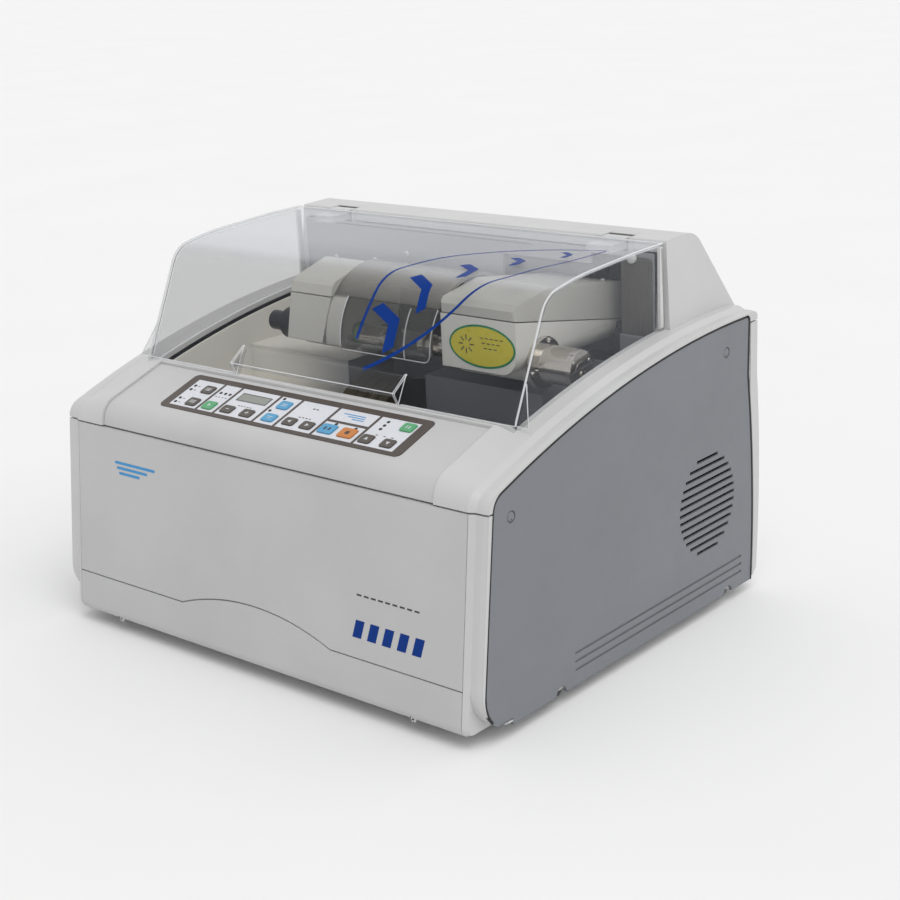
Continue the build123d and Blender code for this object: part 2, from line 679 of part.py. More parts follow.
for fx in (pulley_x0, pulley_x1 - 1):
    motor_pulley += rod_x(motor_y, motor_z, motor_pulley_r + 3, fx, fx + 1)
save(motor_pulley, "motor_pulley")


def belt_loop(grow, x0, x1):
    a = Pos(wheel_y, wheel_z) * Circle(spindle_pulley_r + grow)
    b = Pos(motor_y, motor_z) * Circle(motor_pulley_r + grow)
    dy = motor_y - wheel_y
    dz = motor_z - wheel_z
    dist = sqrt(dy ** 2 + dz ** 2)
    ey, ez = dy / dist, dz / dist
    c = (spindle_pulley_r - motor_pulley_r) / dist
    s = sqrt(1 - c * c)
    ra = spindle_pulley_r + grow
    rb = motor_pulley_r + grow
    up = (c * ey - s * ez, c * ez + s * ey)
    down = (c * ey + s * ez, c * ez - s * ey)
    quad = make_face(Polyline(
        (wheel_y + ra * up[0], wheel_z + ra * up[1]),
        (motor_y + rb * up[0], motor_z + rb * up[1]),
        (motor_y + rb * down[0], motor_z + rb * down[1]),
        (wheel_y + ra * down[0], wheel_z + ra * down[1]),
        close=True,
    ))
    return prism_x(a + b + quad, x0, x1)


belt_gap = 0.4
belt = belt_loop(belt_gap + 2.0, pulley_x0 + 2.5, pulley_x1 - 2.5)
belt -= belt_loop(belt_gap, pulley_x0, pulley_x1)
save(belt, "drive_belt")

# ---------------------------------------------------------------- cooling fan
fan_x1 = panel_seat_x - 2.0
fan_x0 = fan_x1 - 18.0
fan_frame = box(fan_x0, fan_x1, fan_y - 52, fan_y + 52, fan_z - 52, fan_z + 52)
fan_frame -= rod_x(fan_y, fan_z, 48.0, fan_x0 - 1, fan_x1 + 1)
fan_frame += rod_x(fan_y, fan_z, 14.0, fan_x0, fan_x0 + 3)
for turn in (30, 150, 270):
    spoke = Pos(fan_x0 + 1.5, 0, 32.0) * Box(3.0, 3.0, 38.0)
    fan_frame += Pos(0, fan_y, fan_z) * Rot(turn, 0, 0) * spoke
fan_frame += rod_x(fan_y, fan_z, 2.5, fan_x0, fan_x1 - 4)
fan_frame += box(fan_x0, fan_x1 - 12, fan_y - 46, fan_y - 30, base_top, fan_z - 52)
fan_frame += box(fan_x0, fan_x1 - 12, fan_y + 30, fan_y + 46, base_top, fan_z - 52)
save(fan_frame, "fan_frame")
fan_rotor = tube_x(fan_y, fan_z, 15.0, 2.5 + pin_clear, fan_x0 + 4, fan_x1 - 1)
for i in range(7):
    blade = Pos(fan_x0 + 10.5, 0, 30.0) * Rot(0, 0, 32) * Box(13.0, 1.6, 31.0)
    fan_rotor += Pos(0, fan_y, fan_z) * Rot(i * 360 / 7, 0, 0) * blade
save(fan_rotor, "fan_rotor")

# ---------------------------------------------------------------- electronics
board_y = -192.0
board_t = 1.6
board_half = 150.0
board_low_z = 40.0
board_top_z = 180.0
chip_y = board_y + 8.0
board = box(-board_half, board_half, board_y, board_y + board_t, board_low_z, board_top_z)
for cx, cz, cw, ch in ((-100, 130, 40, 40), (-20, 140, 30, 24), (60, 120, 46, 30), (-60, 70, 60, 20), (90, 70, 50, 24)):
    board += box(cx, cx + cw, board_y + board_t, chip_y, cz - ch / 2, cz + ch / 2)
stay_w = 20.0
for stay_x in (10.0 - board_half, board_half - 10.0 - stay_w):
    board += box(stay_x, stay_x + stay_w, board_y + board_t - 0.1, board_y + 18.0, base_top, board_low_z + stay_w)
save(board, "circuit_board")
supply_x0 = 30.0
supply_x1 = 200.0
supply_y0 = 92.0
supply_y1 = 176.0
supply_h = 50.0
fin_gaps = 8
fin_pitch = 18.0
fin_gap_w = 6.0
supply = box(supply_x0, supply_x1, supply_y0, supply_y1, base_top, base_top + supply_h)
for i in range(fin_gaps):
    sx = supply_x0 + fin_pitch * (i + 1)
    supply -= box(sx, sx + fin_gap_w, supply_y0 + 8, supply_y1 - 8, base_top + supply_h - 4, base_top + supply_h + 10)
save(supply, "power_supply")

# ---------------------------------------------------------------- pivot rail and traverse block
rail_r = 8.0
rail_end = half_width - 51.0
pivot_rail = rod_x(pivot_y, pivot_z, rail_r, -rail_end, rail_end)
for side in (-1, 1):
    x_in = side * (rail_end - 10)
    x_out = side * rail_end
    lo, hi = min(x_in, x_out), max(x_in, x_out)
    pivot_rail += box(lo, hi, pivot_y + 4, pivot_y + 34, base_top, pivot_z + 8)
    pivot_rail += rod_x(pivot_y, pivot_z, 16.0, lo, hi)
save(pivot_rail, "pivot_rail")

sleeve_r = 12.0
sleeve_x0 = -116.0
sleeve_x1 = 164.0
traverse = rod_x(pivot_y, pivot_z, sleeve_r, sleeve_x0, sleeve_x1)
traverse += box(-20.0, 70.0, pivot_y - 10, pivot_y + 26, pivot_z - 24, pivot_z + 16)
for fx in (sleeve_x0, sleeve_x1 - 3.0):
    traverse += rod_x(pivot_y, pivot_z, 15.0, fx, fx + 3.0)
traverse -= rod_x(pivot_y, pivot_z, rail_r + pin_clear, -300, 300)
save(traverse, "traverse_block")

# ---------------------------------------------------------------- lens carriage
hub_r = 18.0
beam_y0 = 60.5
beam_y1 = 121.0
beam_z0 = 262.0
beam_z1 = 284.0
beam_x0 = -112.0
beam_x1 = 160.0
frame_beam = box(beam_x0, beam_x1, beam_y0, beam_y1, beam_z0, beam_z1)
for hx in (beam_x0, beam_x1 - 30.0):
    frame_beam += box(hx, hx + 30.0, beam_y1 - 2, pivot_y, beam_z0 - 8, beam_z1 - 4)
    frame_beam += rod_x(pivot_y, pivot_z, hub_r, hx, hx + 30.0)
frame_beam -= rod_x(pivot_y, pivot_z, sleeve_r + pin_clear, -300, 300)
save(frame_beam, "carriage_frame")

lobe_seam_z = 316.0
lobe_front_y = -37.0
lobe_back_y = 128.0
lobe_gap = 0.5
right_x0 = 84.0
right_x1 = 170.0
lobe_slope = (285.0 - lobe_seam_z) / (lobe_back_y - lobe_front_y)
seam_back_z = lobe_seam_z + lobe_slope * (lobe_back_y - lobe_front_y)
right_upper = poly_x([
    (lobe_front_y, lobe_seam_z + lobe_gap),
    (lobe_front_y, 325.0),
    (lobe_front_y + 5.0, 330.0),
    (17.0, 338.0),
    (lobe_back_y, 321.0),
    (lobe_back_y, seam_back_z + lobe_gap),
], right_x0, right_x1)
right_upper = fillet(right_upper.edges().filter_by(Axis.Z), 3.0)
lower_low_z = 266.0
right_lower = poly_x([
    (lobe_front_y, lobe_seam_z - lobe_gap),
    (lobe_back_y, seam_back_z - lobe_gap),
    (lobe_back_y, lower_low_z),
    (lobe_front_y, lower_low_z),
], right_x0, right_x1)
low_edges = right_lower.edges().filter_by(Axis.Y).sort_by(Axis.X)
right_lower = fillet([low_edges[-1]], 18.0)
right_lower -= box(-300, 300, beam_y0 - 0.5, 200, 200, beam_z1 + 0.5)
clamp_bore_r = 13.0
bore_end = right_x1 - 3.0
right_lower -= rod_x(shaft_y, shaft_z, clamp_bore_r + pin_clear, right_x0 - 1, bore_end)
cradle = rod_x(shaft_y, shaft_z, 19.0, right_x0, right_x1)
cradle -= rod_x(shaft_y, shaft_z, clamp_bore_r + pin_clear, right_x0 - 1, bore_end)
right_lower += cradle
save(right_upper, "lobe_right_upper")
save(right_lower, "lobe_right_lower")

left_x0 = -103.0
left_x1 = -49.0
left_back_y = 60.0
left_seam_y = lobe_front_y - 4.5
left_low_x1 = -56.5
left_low_y = lobe_front_y - 13.0
left_low_z = 272.0
left_upper = poly_x([
    (left_seam_y, lobe_seam_z + lobe_gap),
    (lobe_front_y - 1.0, 326.0),
    (lobe_front_y + 4.0, 330.0),
    (10.0, 341.5),
    (20.0, 339.0),
    (left_back_y, 318.0),
    (left_back_y, lobe_seam_z + lobe_gap),
], left_x0, left_x1)
left_upper = fillet(left_upper.edges().filter_by(Axis.Z), 3.0)


def plan_rect(x0, x1, y0, y1, z):
    return Pos((x0 + x1) / 2, (y0 + y1) / 2, z) * Rectangle(x1 - x0, y1 - y0)


left_lower = loft([
    plan_rect(left_x0, left_low_x1, left_low_y, left_back_y, left_low_z),
    plan_rect(left_x0, left_x1, left_seam_y, left_back_y, lobe_seam_z - lobe_gap),
])
left_shaft_r = 6.0
chuck_r = 9.5
chuck_x0 = -61.2
left_lower += rod_x(shaft_y, shaft_z, 17.0, left_x0 - 18.0, chuck_x0 - 0.4)
left_lower -= rod_x(shaft_y, shaft_z, left_shaft_r + pin_clear, -200, 0)
left_lower -= rod_x(shaft_y, shaft_z, chuck_r + 3.0, chuck_x0 - 0.4, 0)
save(left_upper, "lobe_left_upper")
save(left_lower, "lobe_left_lower")

hood_y = 14.0
hood_z = 276.0
hood_r = 66.0
hood_x0 = -48.6
hood_x1 = right_x0 - 0.4
hood_cheek_x = -31.0          # the hood comes down in front as far as here


def arc_plate(r_out, r_in, a0, a1, x0, x1):
    # angles rise from the horizontal at the front over the top
    def at(r, a):
        return (hood_y - r * cos(radians(a)), hood_z + r * sin(radians(a)))
    mid = (a0 + a1) / 2
    edges = [
        ThreePointArc(at(r_out, a0), at(r_out, mid), at(r_out, a1)),
        Line(at(r_out, a1), at(r_in, a1)),
        ThreePointArc(at(r_in, a1), at(r_in, mid), at(r_in, a0)),
        Line(at(r_in, a0), at(r_out, a0)),
    ]
    return prism_x(make_face(edges), x0, x1)


splash_hood = arc_plate(hood_r, hood_r - 3.0, 40.0, 128.0, hood_x0, hood_x1)
splash_hood += arc_plate(hood_r, hood_r - 3.0, -3.0, 40.5, hood_x0, hood_cheek_x)
shield_x1 = hood_x1 - 1.0
shield_low = -6.0
splash_shield = arc_plate(hood_r - 0.6, hood_r - 2.6, shield_low, 39.9, hood_cheek_x + 0.1, shield_x1)
corner = splash_shield.edges().filter_by(Axis.Y, tolerance=15).filter_by(
    lambda e: e.center().X > shield_x1 - 1 and e.center().Z < hood_z)
splash_shield = fillet(corner, 9.0)
save(splash_hood, "splash_hood")
save(splash_shield, "splash_shield")

left_shaft = rod_x(shaft_y, shaft_z, left_shaft_r, -168.0, -60.0)
left_shaft += rod_x(shaft_y, shaft_z, chuck_r, chuck_x0, -8.0)
left_shaft += rod_x(shaft_y, shaft_z, chuck_r + 1.5, chuck_x0, chuck_x0 + 3.6)
left_shaft += rod_x(shaft_y, shaft_z, 12.0, -13.0, -8.0)
save(left_shaft, "left_lens_shaft")
knob = tube_x(shaft_y, shaft_z, 16.0, left_shaft_r, -150.0, -121.6)
knob += rod_x(shaft_y, shaft_z, 10.0, -172.0, -168.0)
knob += tube_x(shaft_y, shaft_z, 10.0, left_shaft_r, -168.0, -149.0)
save(knob, "template_knob")

sleeve_in_r = 8.0
clamp_sleeve = tube_x(shaft_y, shaft_z, clamp_bore_r, sleeve_in_r + pin_clear, 76.0, 130.0)
save(clamp_sleeve, "clamp_sleeve")
right_shaft = rod_x(shaft_y, shaft_z, sleeve_in_r, 32.0, 150.0)
right_shaft += rod_x(shaft_y, shaft_z, 12.0, 30.0, 36.0)
right_shaft += rod_x(shaft_y, shaft_z, 11.0, 72.0, 75.5)
right_shaft += rod_x(shaft_y, shaft_z, 11.0, 130.5, 134.0)
save(right_shaft, "right_lens_shaft")

clamp_motor = rod_x(shaft_y, shaft_z, 24.5, right_x1, right_x1 + 4.0)
clamp_motor = chamfer(clamp_motor.faces().sort_by(Axis.X)[-1].edges(), 1.0)
can = rod_x(shaft_y, shaft_z, 17.5, right_x1 + 4.0, 213.0)
can = chamfer(can.faces().sort_by(Axis.X)[-1].edges(), 0.8)
clamp_motor += can
clamp_motor -= rod_x(shaft_y, shaft_z, 6.0, 211.0, 214.0)
save(clamp_motor, "clamp_motor")

# ---------------------------------------------------------------- lid
lid_run = 12.0                # the front sheet is drawn on past its foot, then trimmed to the deck
lid_steep = (lid_brow[1] - lid_foot[1]) / (lid_brow[0] - lid_foot[0])
lid_low_z = 225.0
lid_pts = [
    (lid_foot[0] - lid_run, lid_foot[1] - lid_run * lid_steep),
    lid_brow,
    lid_mid,
    lid_back,
    (lid_rear_y, lid_rear_z),
    (lid_rear_y, lid_low_z),
    (lid_foot[0] - lid_run, lid_low_z),
]
lid_face = make_face(Polyline(*lid_pts, close=True))
lid_face = fillet(near(lid_face.vertices(), *lid_brow), lid_brow_r)
lid_face = fillet(near(lid_face.vertices(), *lid_mid), 250.0)
lid_outer = prism_x(lid_face, -lid_x, lid_x)
lid_inner_face = offset(lid_face, amount=-lid_sheet)
rear_open = box(-far, far, lid_rear_y - lid_sheet - 1, lid_rear_y + 1, 0, lid_rear_z - lid_sheet)
lid_inner = prism_x(lid_inner_face, -far, far) + rear_open
clearance = Pos(0, 0, lid_gap) * crowned
above_deck = box(-far, far, -far, far, 238.0, far) - clearance
canopy = (lid_outer - lid_inner) & above_deck
side_sheet = prism_x(lid_face, lid_x - lid_sheet, lid_x) & lid_inner & above_deck
side_sheet &= box(0, far, -far, lid_rear_y, 0, far)

opening = box(-scoop_x + scoop_sheet, scoop_x - scoop_sheet, -140, -90, 240, scoop_top[1] - 3.0)
canopy -= opening
run = sqrt((scoop_top[0] - scoop_lip[0]) ** 2 + (scoop_top[1] - scoop_lip[1]) ** 2)
drop_y = -scoop_sheet * (scoop_top[1] - scoop_lip[1]) / run
drop_z = -scoop_sheet * (scoop_top[0] - scoop_lip[0]) / run
awning = poly_x([
    scoop_top,
    scoop_lip,
    (scoop_lip[0] - drop_y, scoop_lip[1] + drop_z),
    (scoop_top[0] - drop_y + 1.0, scoop_top[1] + drop_z + 0.4),
], -scoop_x, scoop_x)
gusset_pts = [scoop_top, scoop_lip, (-121.4, 251.4), (-116.5, 251.9), (-105.5, 276.0)]
for side in (-1, 1):
    outer_x = side * scoop_x
    inner_x = side * (scoop_x - scoop_sheet)
    awning += poly_x(gusset_pts, min(outer_x, inner_x), max(outer_x, inner_x))
canopy += awning - (lid_inner & box(-far, far, -105.0, 0, 0, far))
save(canopy, "lid_canopy")
save(side_sheet, "lid_side_right")
save(mirror(side_sheet, Plane.YZ), "lid_side_left")

arms = None
for side in (-1, 1):
    nx = side * hinge_arm_x
    half = hinge_arm_w / 2
    arm = box(nx - half, nx + half, 84.0, hinge_y, hinge_z - 3.5, lid_rear_z - lid_sheet - 0.1)
    arm -= prism_x(lid_face, -far, far) - prism_x(lid_inner_face, -far, far) - rear_open
    arm += rod_x(hinge_y, hinge_z, 6.0, nx - half, nx + half)
    arm += rod_x(hinge_y, hinge_z, hinge_pin_r, nx - half - 5.5, nx + half + 5.5)
    arms = arm if arms is None else arms + arm
save(arms, "lid_hinge_arms")
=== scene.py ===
import json
import math

import bmesh
import bpy
from mathutils import Matrix, Vector


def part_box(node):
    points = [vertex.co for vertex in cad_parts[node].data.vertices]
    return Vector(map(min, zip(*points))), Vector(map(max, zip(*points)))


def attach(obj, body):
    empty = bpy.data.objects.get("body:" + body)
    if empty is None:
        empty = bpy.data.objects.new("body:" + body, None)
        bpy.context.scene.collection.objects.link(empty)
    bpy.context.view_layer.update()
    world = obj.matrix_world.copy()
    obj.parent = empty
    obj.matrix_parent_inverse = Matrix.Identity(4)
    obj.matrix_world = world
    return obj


MM = 0.001
CENTRE_Y = 0.63254            # the frame's origin lies this far behind the drawing's zero, in mm
X_AXIS = (1, 0, 0)
Y_AXIS = (0, 1, 0)
Z_AXIS = (0, 0, 1)
FORWARD = (0, -1, 0)          # towards the user
SIDES = (("right", 1), ("left", -1))

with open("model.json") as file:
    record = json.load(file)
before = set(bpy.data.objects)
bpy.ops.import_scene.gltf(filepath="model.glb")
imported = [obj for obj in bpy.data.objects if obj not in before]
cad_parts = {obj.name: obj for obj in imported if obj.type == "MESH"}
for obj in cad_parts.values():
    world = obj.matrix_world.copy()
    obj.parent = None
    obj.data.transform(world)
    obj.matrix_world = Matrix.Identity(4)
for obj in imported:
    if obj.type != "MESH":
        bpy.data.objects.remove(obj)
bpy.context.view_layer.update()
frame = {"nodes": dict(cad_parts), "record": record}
nodes = frame["nodes"]


# ------------------------------------------------------------------ materials
BRIGHTEST = 0.95              # no finish reflects more than this
HAZE_SHADOW = 0.12            # share of a clear sheet's haze that holds back light


def linear(r, g, b):
    # 8 bit display colour to linear light
    out = []
    for c in (r, g, b):
        v = c / 255
        out.append(v / 12.92 if v <= 0.04045 else ((v + 0.055) / 1.055) ** 2.4)
    return out


def lit(r, g, b):
    return tuple(min(c, BRIGHTEST) for c in linear(r, g, b)) + (1.0,)


def shade(color, k):
    return tuple(min(c * k, 1.0) for c in color[:3]) + (1.0,)


class Shader:
    def __init__(self, name):
        self.mat = bpy.data.materials.new(name)
        self.mat.use_nodes = True
        self.tree = self.mat.node_tree
        self.bsdf = self.tree.nodes["Principled BSDF"]
        self.coords = self.node("ShaderNodeTexCoord").outputs["Object"]

    def node(self, kind, **values):
        made = self.tree.nodes.new(kind)
        for key, value in values.items():
            setattr(made, key, value)
        return made

    def link(self, a, b):
        self.tree.links.new(a, b)

    def place(self):
        # the outputs X, Y and Z give the place on the object, in metres
        made = self.node("ShaderNodeSeparateXYZ")
        self.link(self.coords, made.inputs[0])
        return made.outputs

    def noise(self, scale, detail=3.0, stretch=None):
        made = self.node("ShaderNodeTexNoise")
        made.inputs["Scale"].default_value = scale
        made.inputs["Detail"].default_value = detail
        source = self.coords
        if stretch:
            mapping = self.node("ShaderNodeMapping")
            mapping.inputs["Scale"].default_value = stretch
            self.link(source, mapping.inputs["Vector"])
            source = mapping.outputs["Vector"]
        self.link(source, made.inputs["Vector"])
        return made.outputs["Fac"]

    def ramp(self, fac, low, high, a=0.35, b=0.65):
        made = self.node("ShaderNodeValToRGB")
        made.color_ramp.elements[0].position = a
        made.color_ramp.elements[1].position = b
        made.color_ramp.elements[0].color = low
        made.color_ramp.elements[1].color = high
        self.link(fac, made.inputs["Fac"])
        return made.outputs["Color"]

    def range(self, fac, low, high, a=0.3, b=0.7):
        made = self.node("ShaderNodeMapRange")
        made.inputs["From Min"].default_value = a
        made.inputs["From Max"].default_value = b
        made.inputs["To Min"].default_value = low
        made.inputs["To Max"].default_value = high
        self.link(fac, made.inputs["Value"])
        return made.outputs["Result"]

    def math(self, operation, a, b):
        made = self.node("ShaderNodeMath", operation=operation)
        self.link(a, made.inputs[0])
        self.link(b, made.inputs[1])
        return made.outputs[0]

    def bump(self, height, distance, strength, soft_edge=0.0):
        made = self.node("ShaderNodeBump")
        made.inputs["Strength"].default_value = strength
        made.inputs["Distance"].default_value = distance
        self.link(height, made.inputs["Height"])
        if soft_edge:
            bevel = self.node("ShaderNodeBevel", samples=4)
            bevel.inputs["Radius"].default_value = soft_edge
            self.link(bevel.outputs["Normal"], made.inputs["Normal"])
        self.link(made.outputs["Normal"], self.bsdf.inputs["Normal"])

    def set(self, **values):
        for key, value in values.items():
            self.bsdf.inputs[key.replace("_", " ")].default_value = value


def plastic(name, color, rough, grain=1400.0, depth=0.00004, vary=0.03, soft_edge=0.0008,
            spec=0.4):
    s = Shader(name)
    tone = s.ramp(s.noise(9.0, 4.0), shade(color, 1 - vary), shade(color, 1 + vary))
    s.link(tone, s.bsdf.inputs["Base Color"])
    s.link(s.range(s.noise(60.0), rough - 0.05, rough + 0.05), s.bsdf.inputs["Roughness"])
    s.bump(s.noise(grain, 2.0), depth, 0.6, soft_edge)
    s.set(Specular_IOR_Level=spec)
    return s.mat


def casing(name, color):
    # the carriage's casings have a coarser grain
    return plastic(name, color, 0.42, 900.0, 0.00008)


def printed(name, color, rough=0.3, spec=0.5):
    return plastic(name, color, rough, 700.0, 0.00001, 0.02, 0.0003, spec)


def metal(name, color, rough, stretch=(1.0, 60.0, 60.0)):
    s = Shader(name)
    streak = s.noise(40.0, 4.0, stretch)
    s.link(s.ramp(streak, shade(color, 0.85), shade(color, 1.08)), s.bsdf.inputs["Base Color"])
    s.link(s.range(streak, rough - 0.06, rough + 0.08), s.bsdf.inputs["Roughness"])
    s.bump(streak, 0.00002, 0.5, 0.0004)
    s.set(Metallic=1.0)
    return s.mat


def clear(name, deep, pale, face_on, edge_on, rough=0.03, ior=2.2):
    # a thin clear sheet: nearly invisible face on, milky and glossy where it is seen at a slant
    s = Shader(name)
    slant = s.node("ShaderNodeLayerWeight")
    slant.inputs["Blend"].default_value = 0.5
    s.link(s.ramp(slant.outputs["Facing"], deep, pale, 0.35, 0.75), s.bsdf.inputs["Base Color"])
    haze = s.range(slant.outputs["Facing"], face_on, edge_on, 0.38, 0.85)
    rays = s.node("ShaderNodeLightPath").outputs
    light = s.math("MAXIMUM", rays["Is Shadow Ray"], rays["Is Diffuse Ray"])
    share = s.range(light, 1.0, HAZE_SHADOW, 0.0, 1.0)
    s.link(s.math("MULTIPLY", haze, share), s.bsdf.inputs["Alpha"])
    s.link(s.range(s.noise(30.0), rough, rough + 0.04), s.bsdf.inputs["Roughness"])
    s.bump(s.noise(5.0, 2.0), 0.0008, 0.3)
    s.set(IOR=ior, Specular_IOR_Level=0.5)
    return s.mat


def abrasive(name, color):
    s = Shader(name)
    grit = s.noise(2500.0, 2.0)
    s.link(s.ramp(grit, shade(color, 0.85), shade(color, 1.15)), s.bsdf.inputs["Base Color"])
    s.link(s.range(grit, 0.45, 0.6), s.bsdf.inputs["Roughness"])
    s.bump(grit, 0.00003, 0.5)
    s.set(Metallic=0.7)
    return s.mat


def shaded_along_x(name, color, shade_tone, x0, x1, rough):
    # a moulding painted from one tone to a darker one along X as painted shade, with a wet gloss
    s = Shader(name)
    along = s.range(s.place()["X"], 0.0, 1.0, x0, x1)
    s.link(s.ramp(along, color, shade_tone, 0.0, 1.0), s.bsdf.inputs["Base Color"])
    s.link(s.range(s.noise(25.0), rough - 0.05, rough + 0.1), s.bsdf.inputs["Roughness"])
    s.bump(s.noise(14.0, 3.0), 0.0006, 0.5, 0.0015)
    s.set(Specular_IOR_Level=0.6)
    return s.mat


CHEEK_X = (-0.0316, -0.0306)  # where the hood's cheek ends, in metres
CHEEK_Z = (0.316, 0.319)
CHEEK_HAZE = 0.88
SMOKE_SHADE_Z = (0.29, 0.338)       # the hood is painted palest at the top as a painted highlight, and darkest a little below the middle of this height as painted shade
HAZE_Z = (0.275, 0.335)


def hood_finish():
    # the smoky hood has a pale cheek at its left front corner
    s = Shader("hood_smoke_and_shade")
    place = s.place()
    left = s.range(place["X"], 1.0, 0.0, *CHEEK_X)
    cheek = s.math("MULTIPLY", left, s.range(place["Z"], 1.0, 0.0, *CHEEK_Z))
    height = s.range(place["Z"], 0.0, 1.0, *SMOKE_SHADE_Z)
    # a smoky tint with painted light: a painted highlight at the top of the hood, painted shade a
    # little below the middle
    tint_and_shade = s.ramp(height, lit(104, 101, 90), lit(166, 164, 157), 0.0, 1.0)
    tint_and_shade.node.color_ramp.elements.new(0.45).color = lit(66, 63, 54)
    tone = s.node("ShaderNodeMix", data_type="RGBA")
    s.link(cheek, tone.inputs["Factor"])
    s.link(tint_and_shade, tone.inputs["A"])
    s.link(s.ramp(s.noise(12.0), lit(176, 175, 169), lit(182, 181, 175)), tone.inputs["B"])
    s.link(tone.outputs["Result"], s.bsdf.inputs["Base Color"])
    haze = s.range(place["Z"], 0.22, 0.66, *HAZE_Z)
    cheek_haze = s.range(cheek, 0.0, CHEEK_HAZE, 0.0, 1.0)
    s.link(s.math("MAXIMUM", haze, cheek_haze), s.bsdf.inputs["Alpha"])
    s.link(s.range(s.noise(30.0), 0.06, 0.12), s.bsdf.inputs["Roughness"])
    s.bump(s.noise(5.0, 2.0), 0.0008, 0.3)
    s.set(IOR=1.9)
    return s.mat


materials = {
    "cover_white": plastic("cover_white", lit(195, 195, 195), 0.35, spec=0.5),
    "front_grey": plastic("front_grey", lit(188, 188, 189), 0.42),
    "panel_grey": plastic("panel_grey", lit(119, 122, 127), 0.45),
    "deck_grey": plastic("deck_grey", lit(190, 190, 190), 0.40),
    "keypad_dark": printed("keypad_dark", lit(70, 60, 54), 0.35),
    "keypad_white": printed("keypad_white", lit(212, 214, 220)),
    "key_dark": printed("key_dark", lit(74, 68, 62)),
    "key_green": printed("key_green", lit(80, 160, 108)),
    "key_blue": printed("key_blue", lit(74, 152, 196)),
    "key_orange": printed("key_orange", lit(196, 120, 48)),
    "display": printed("display", lit(136, 140, 134), 0.15),
    "clear_lid": clear("clear_lid", lit(52, 56, 64), lit(200, 203, 210), 0.13, 0.36, 0.03, 1.55),
    "shield_tint": clear("shield_tint", lit(60, 60, 52), lit(110, 110, 100), 0.24, 0.60),
    "carriage_grey": casing("carriage_grey", lit(188, 187, 181)),
    # painted shade: the tray turns from pale at its left end to a darker blue-grey towards +X
    "tray_grey": shaded_along_x("tray_grey", lit(222, 220, 213), lit(134, 136, 141), -0.15, -0.06, 0.14),
    "cast_frame": metal("cast_frame", lit(92, 93, 95), 0.45, (20.0, 20.0, 20.0)),
    "steel": metal("steel", (0.62, 0.59, 0.54, 1), 0.15),
    "sheet_steel": metal("sheet_steel", (0.45, 0.46, 0.47, 1), 0.4, (30.0, 4.0, 30.0)),
    "motor_dark": metal("motor_dark", (0.16, 0.16, 0.17, 1), 0.40),
    "rubber_black": plastic("rubber_black", (0.02, 0.02, 0.02, 1), 0.7, 1200.0, 0.0001),
    "wheel_abrasive": abrasive("wheel_abrasive", (0.09, 0.08, 0.06, 1)),
    "black_plastic": plastic("black_plastic", (0.016, 0.017, 0.02, 1), 0.35),
    "board_green": printed("board_green", (0.02, 0.13, 0.05, 1), 0.35),
}
cover_white = materials["cover_white"]
clear_lid = materials["clear_lid"]
rubber_black = materials["rubber_black"]
black_plastic = materials["black_plastic"]

# painted light: a paler copy of the carriage casing, for the right lobe's lower casing and apron
casing_painted_light = casing("casing_painted_light", lit(216, 215, 209))
arm_clear = clear("arm_clear", lit(188, 190, 194), lit(205, 206, 208), 0.50, 0.85, 0.06, 1.5)
wall_grey = plastic("wall_grey", lit(146, 147, 151), 0.4)
blue_ink = printed("blue_ink", lit(0, 50, 128), 0.4, 0.12)
pale_ink = printed("pale_ink", lit(200, 202, 204))
dark_ink = printed("dark_ink", lit(46, 42, 40))
sky_ink = printed("sky_ink", lit(48, 138, 196))
label_yellow = printed("label_yellow", lit(206, 194, 50), 0.28)
label_green = printed("label_green", lit(4, 126, 80), 0.28)
ring_green = printed("ring_green", lit(30, 140, 56), 0.25)
# pale lines along edges are painted highlight; the edge_shade lines beside them are painted shade
edge_highlight = clear("edge_highlight", lit(236, 238, 241), lit(244, 245, 246), 0.5, 0.85, 0.03, 1.8)
edge_shade = clear("edge_shade", lit(70, 73, 78), lit(110, 112, 116), 0.35, 0.7, 0.05, 1.8)
seal_white = plastic("seal_white", lit(214, 214, 213), 0.4)
shade_lining = plastic("shade_lining", lit(30, 32, 36), 0.3)
shade_sheet_grey = plastic("shade_sheet_grey", lit(92, 90, 85), 0.4)
bright_steel = metal("bright_steel", (0.62, 0.61, 0.59, 1), 0.18, (30.0, 30.0, 30.0))


def finish_node(name, mat):
    nodes[name].data.materials.clear()
    nodes[name].data.materials.append(mat)


for subpart in frame["record"]["subparts"]:
    finish_node(subpart["node"], materials[subpart["material_slot"]])
# four nodes differ from their slot's usual finish
finish_node("splash_hood", hood_finish())
finish_node("lid_hinge_arms", arm_clear)
finish_node("splash_wall", wall_grey)
# the right lobe's lower casing takes the paler casing copy, painted light
finish_node("lobe_right_lower", casing_painted_light)


# ------------------------------------------------------------------ small builders
CORNER_STEPS = 4              # segments of a rounded corner
OVAL_STEPS = 48
SCREW_TURN = 0.4              # how far a cross recess is turned, in radians


def at(x, y, z):
    # a point of the drawing, in mm, to the frame, in metres
    return Vector((x, y - CENTRE_Y, z)) * MM


def finish_piece(name, data, body):
    obj = bpy.data.objects.new(name, data)
    bpy.context.scene.collection.objects.link(obj)
    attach(obj, body)


def finish_mesh(name, bm, mats, body, smooth=False):
    bmesh.ops.recalc_face_normals(bm, faces=bm.faces)
    mesh = bpy.data.meshes.new(name)
    bm.to_mesh(mesh)
    bm.free()
    for m in mats:
        mesh.materials.append(m)
    if smooth:
        mesh.shade_smooth()
    finish_piece(name, mesh, body)


def frame_of(origin, axis):
    z = Vector(axis).normalized()
    x = Vector(Z_AXIS).cross(z)
    if x.length < 0.1:
        x = Vector(X_AXIS)
    x.normalize()
    y = z.cross(x)
    m = Matrix((x, y, z)).transposed().to_4x4()
    m.translation = Vector(origin)
    return m


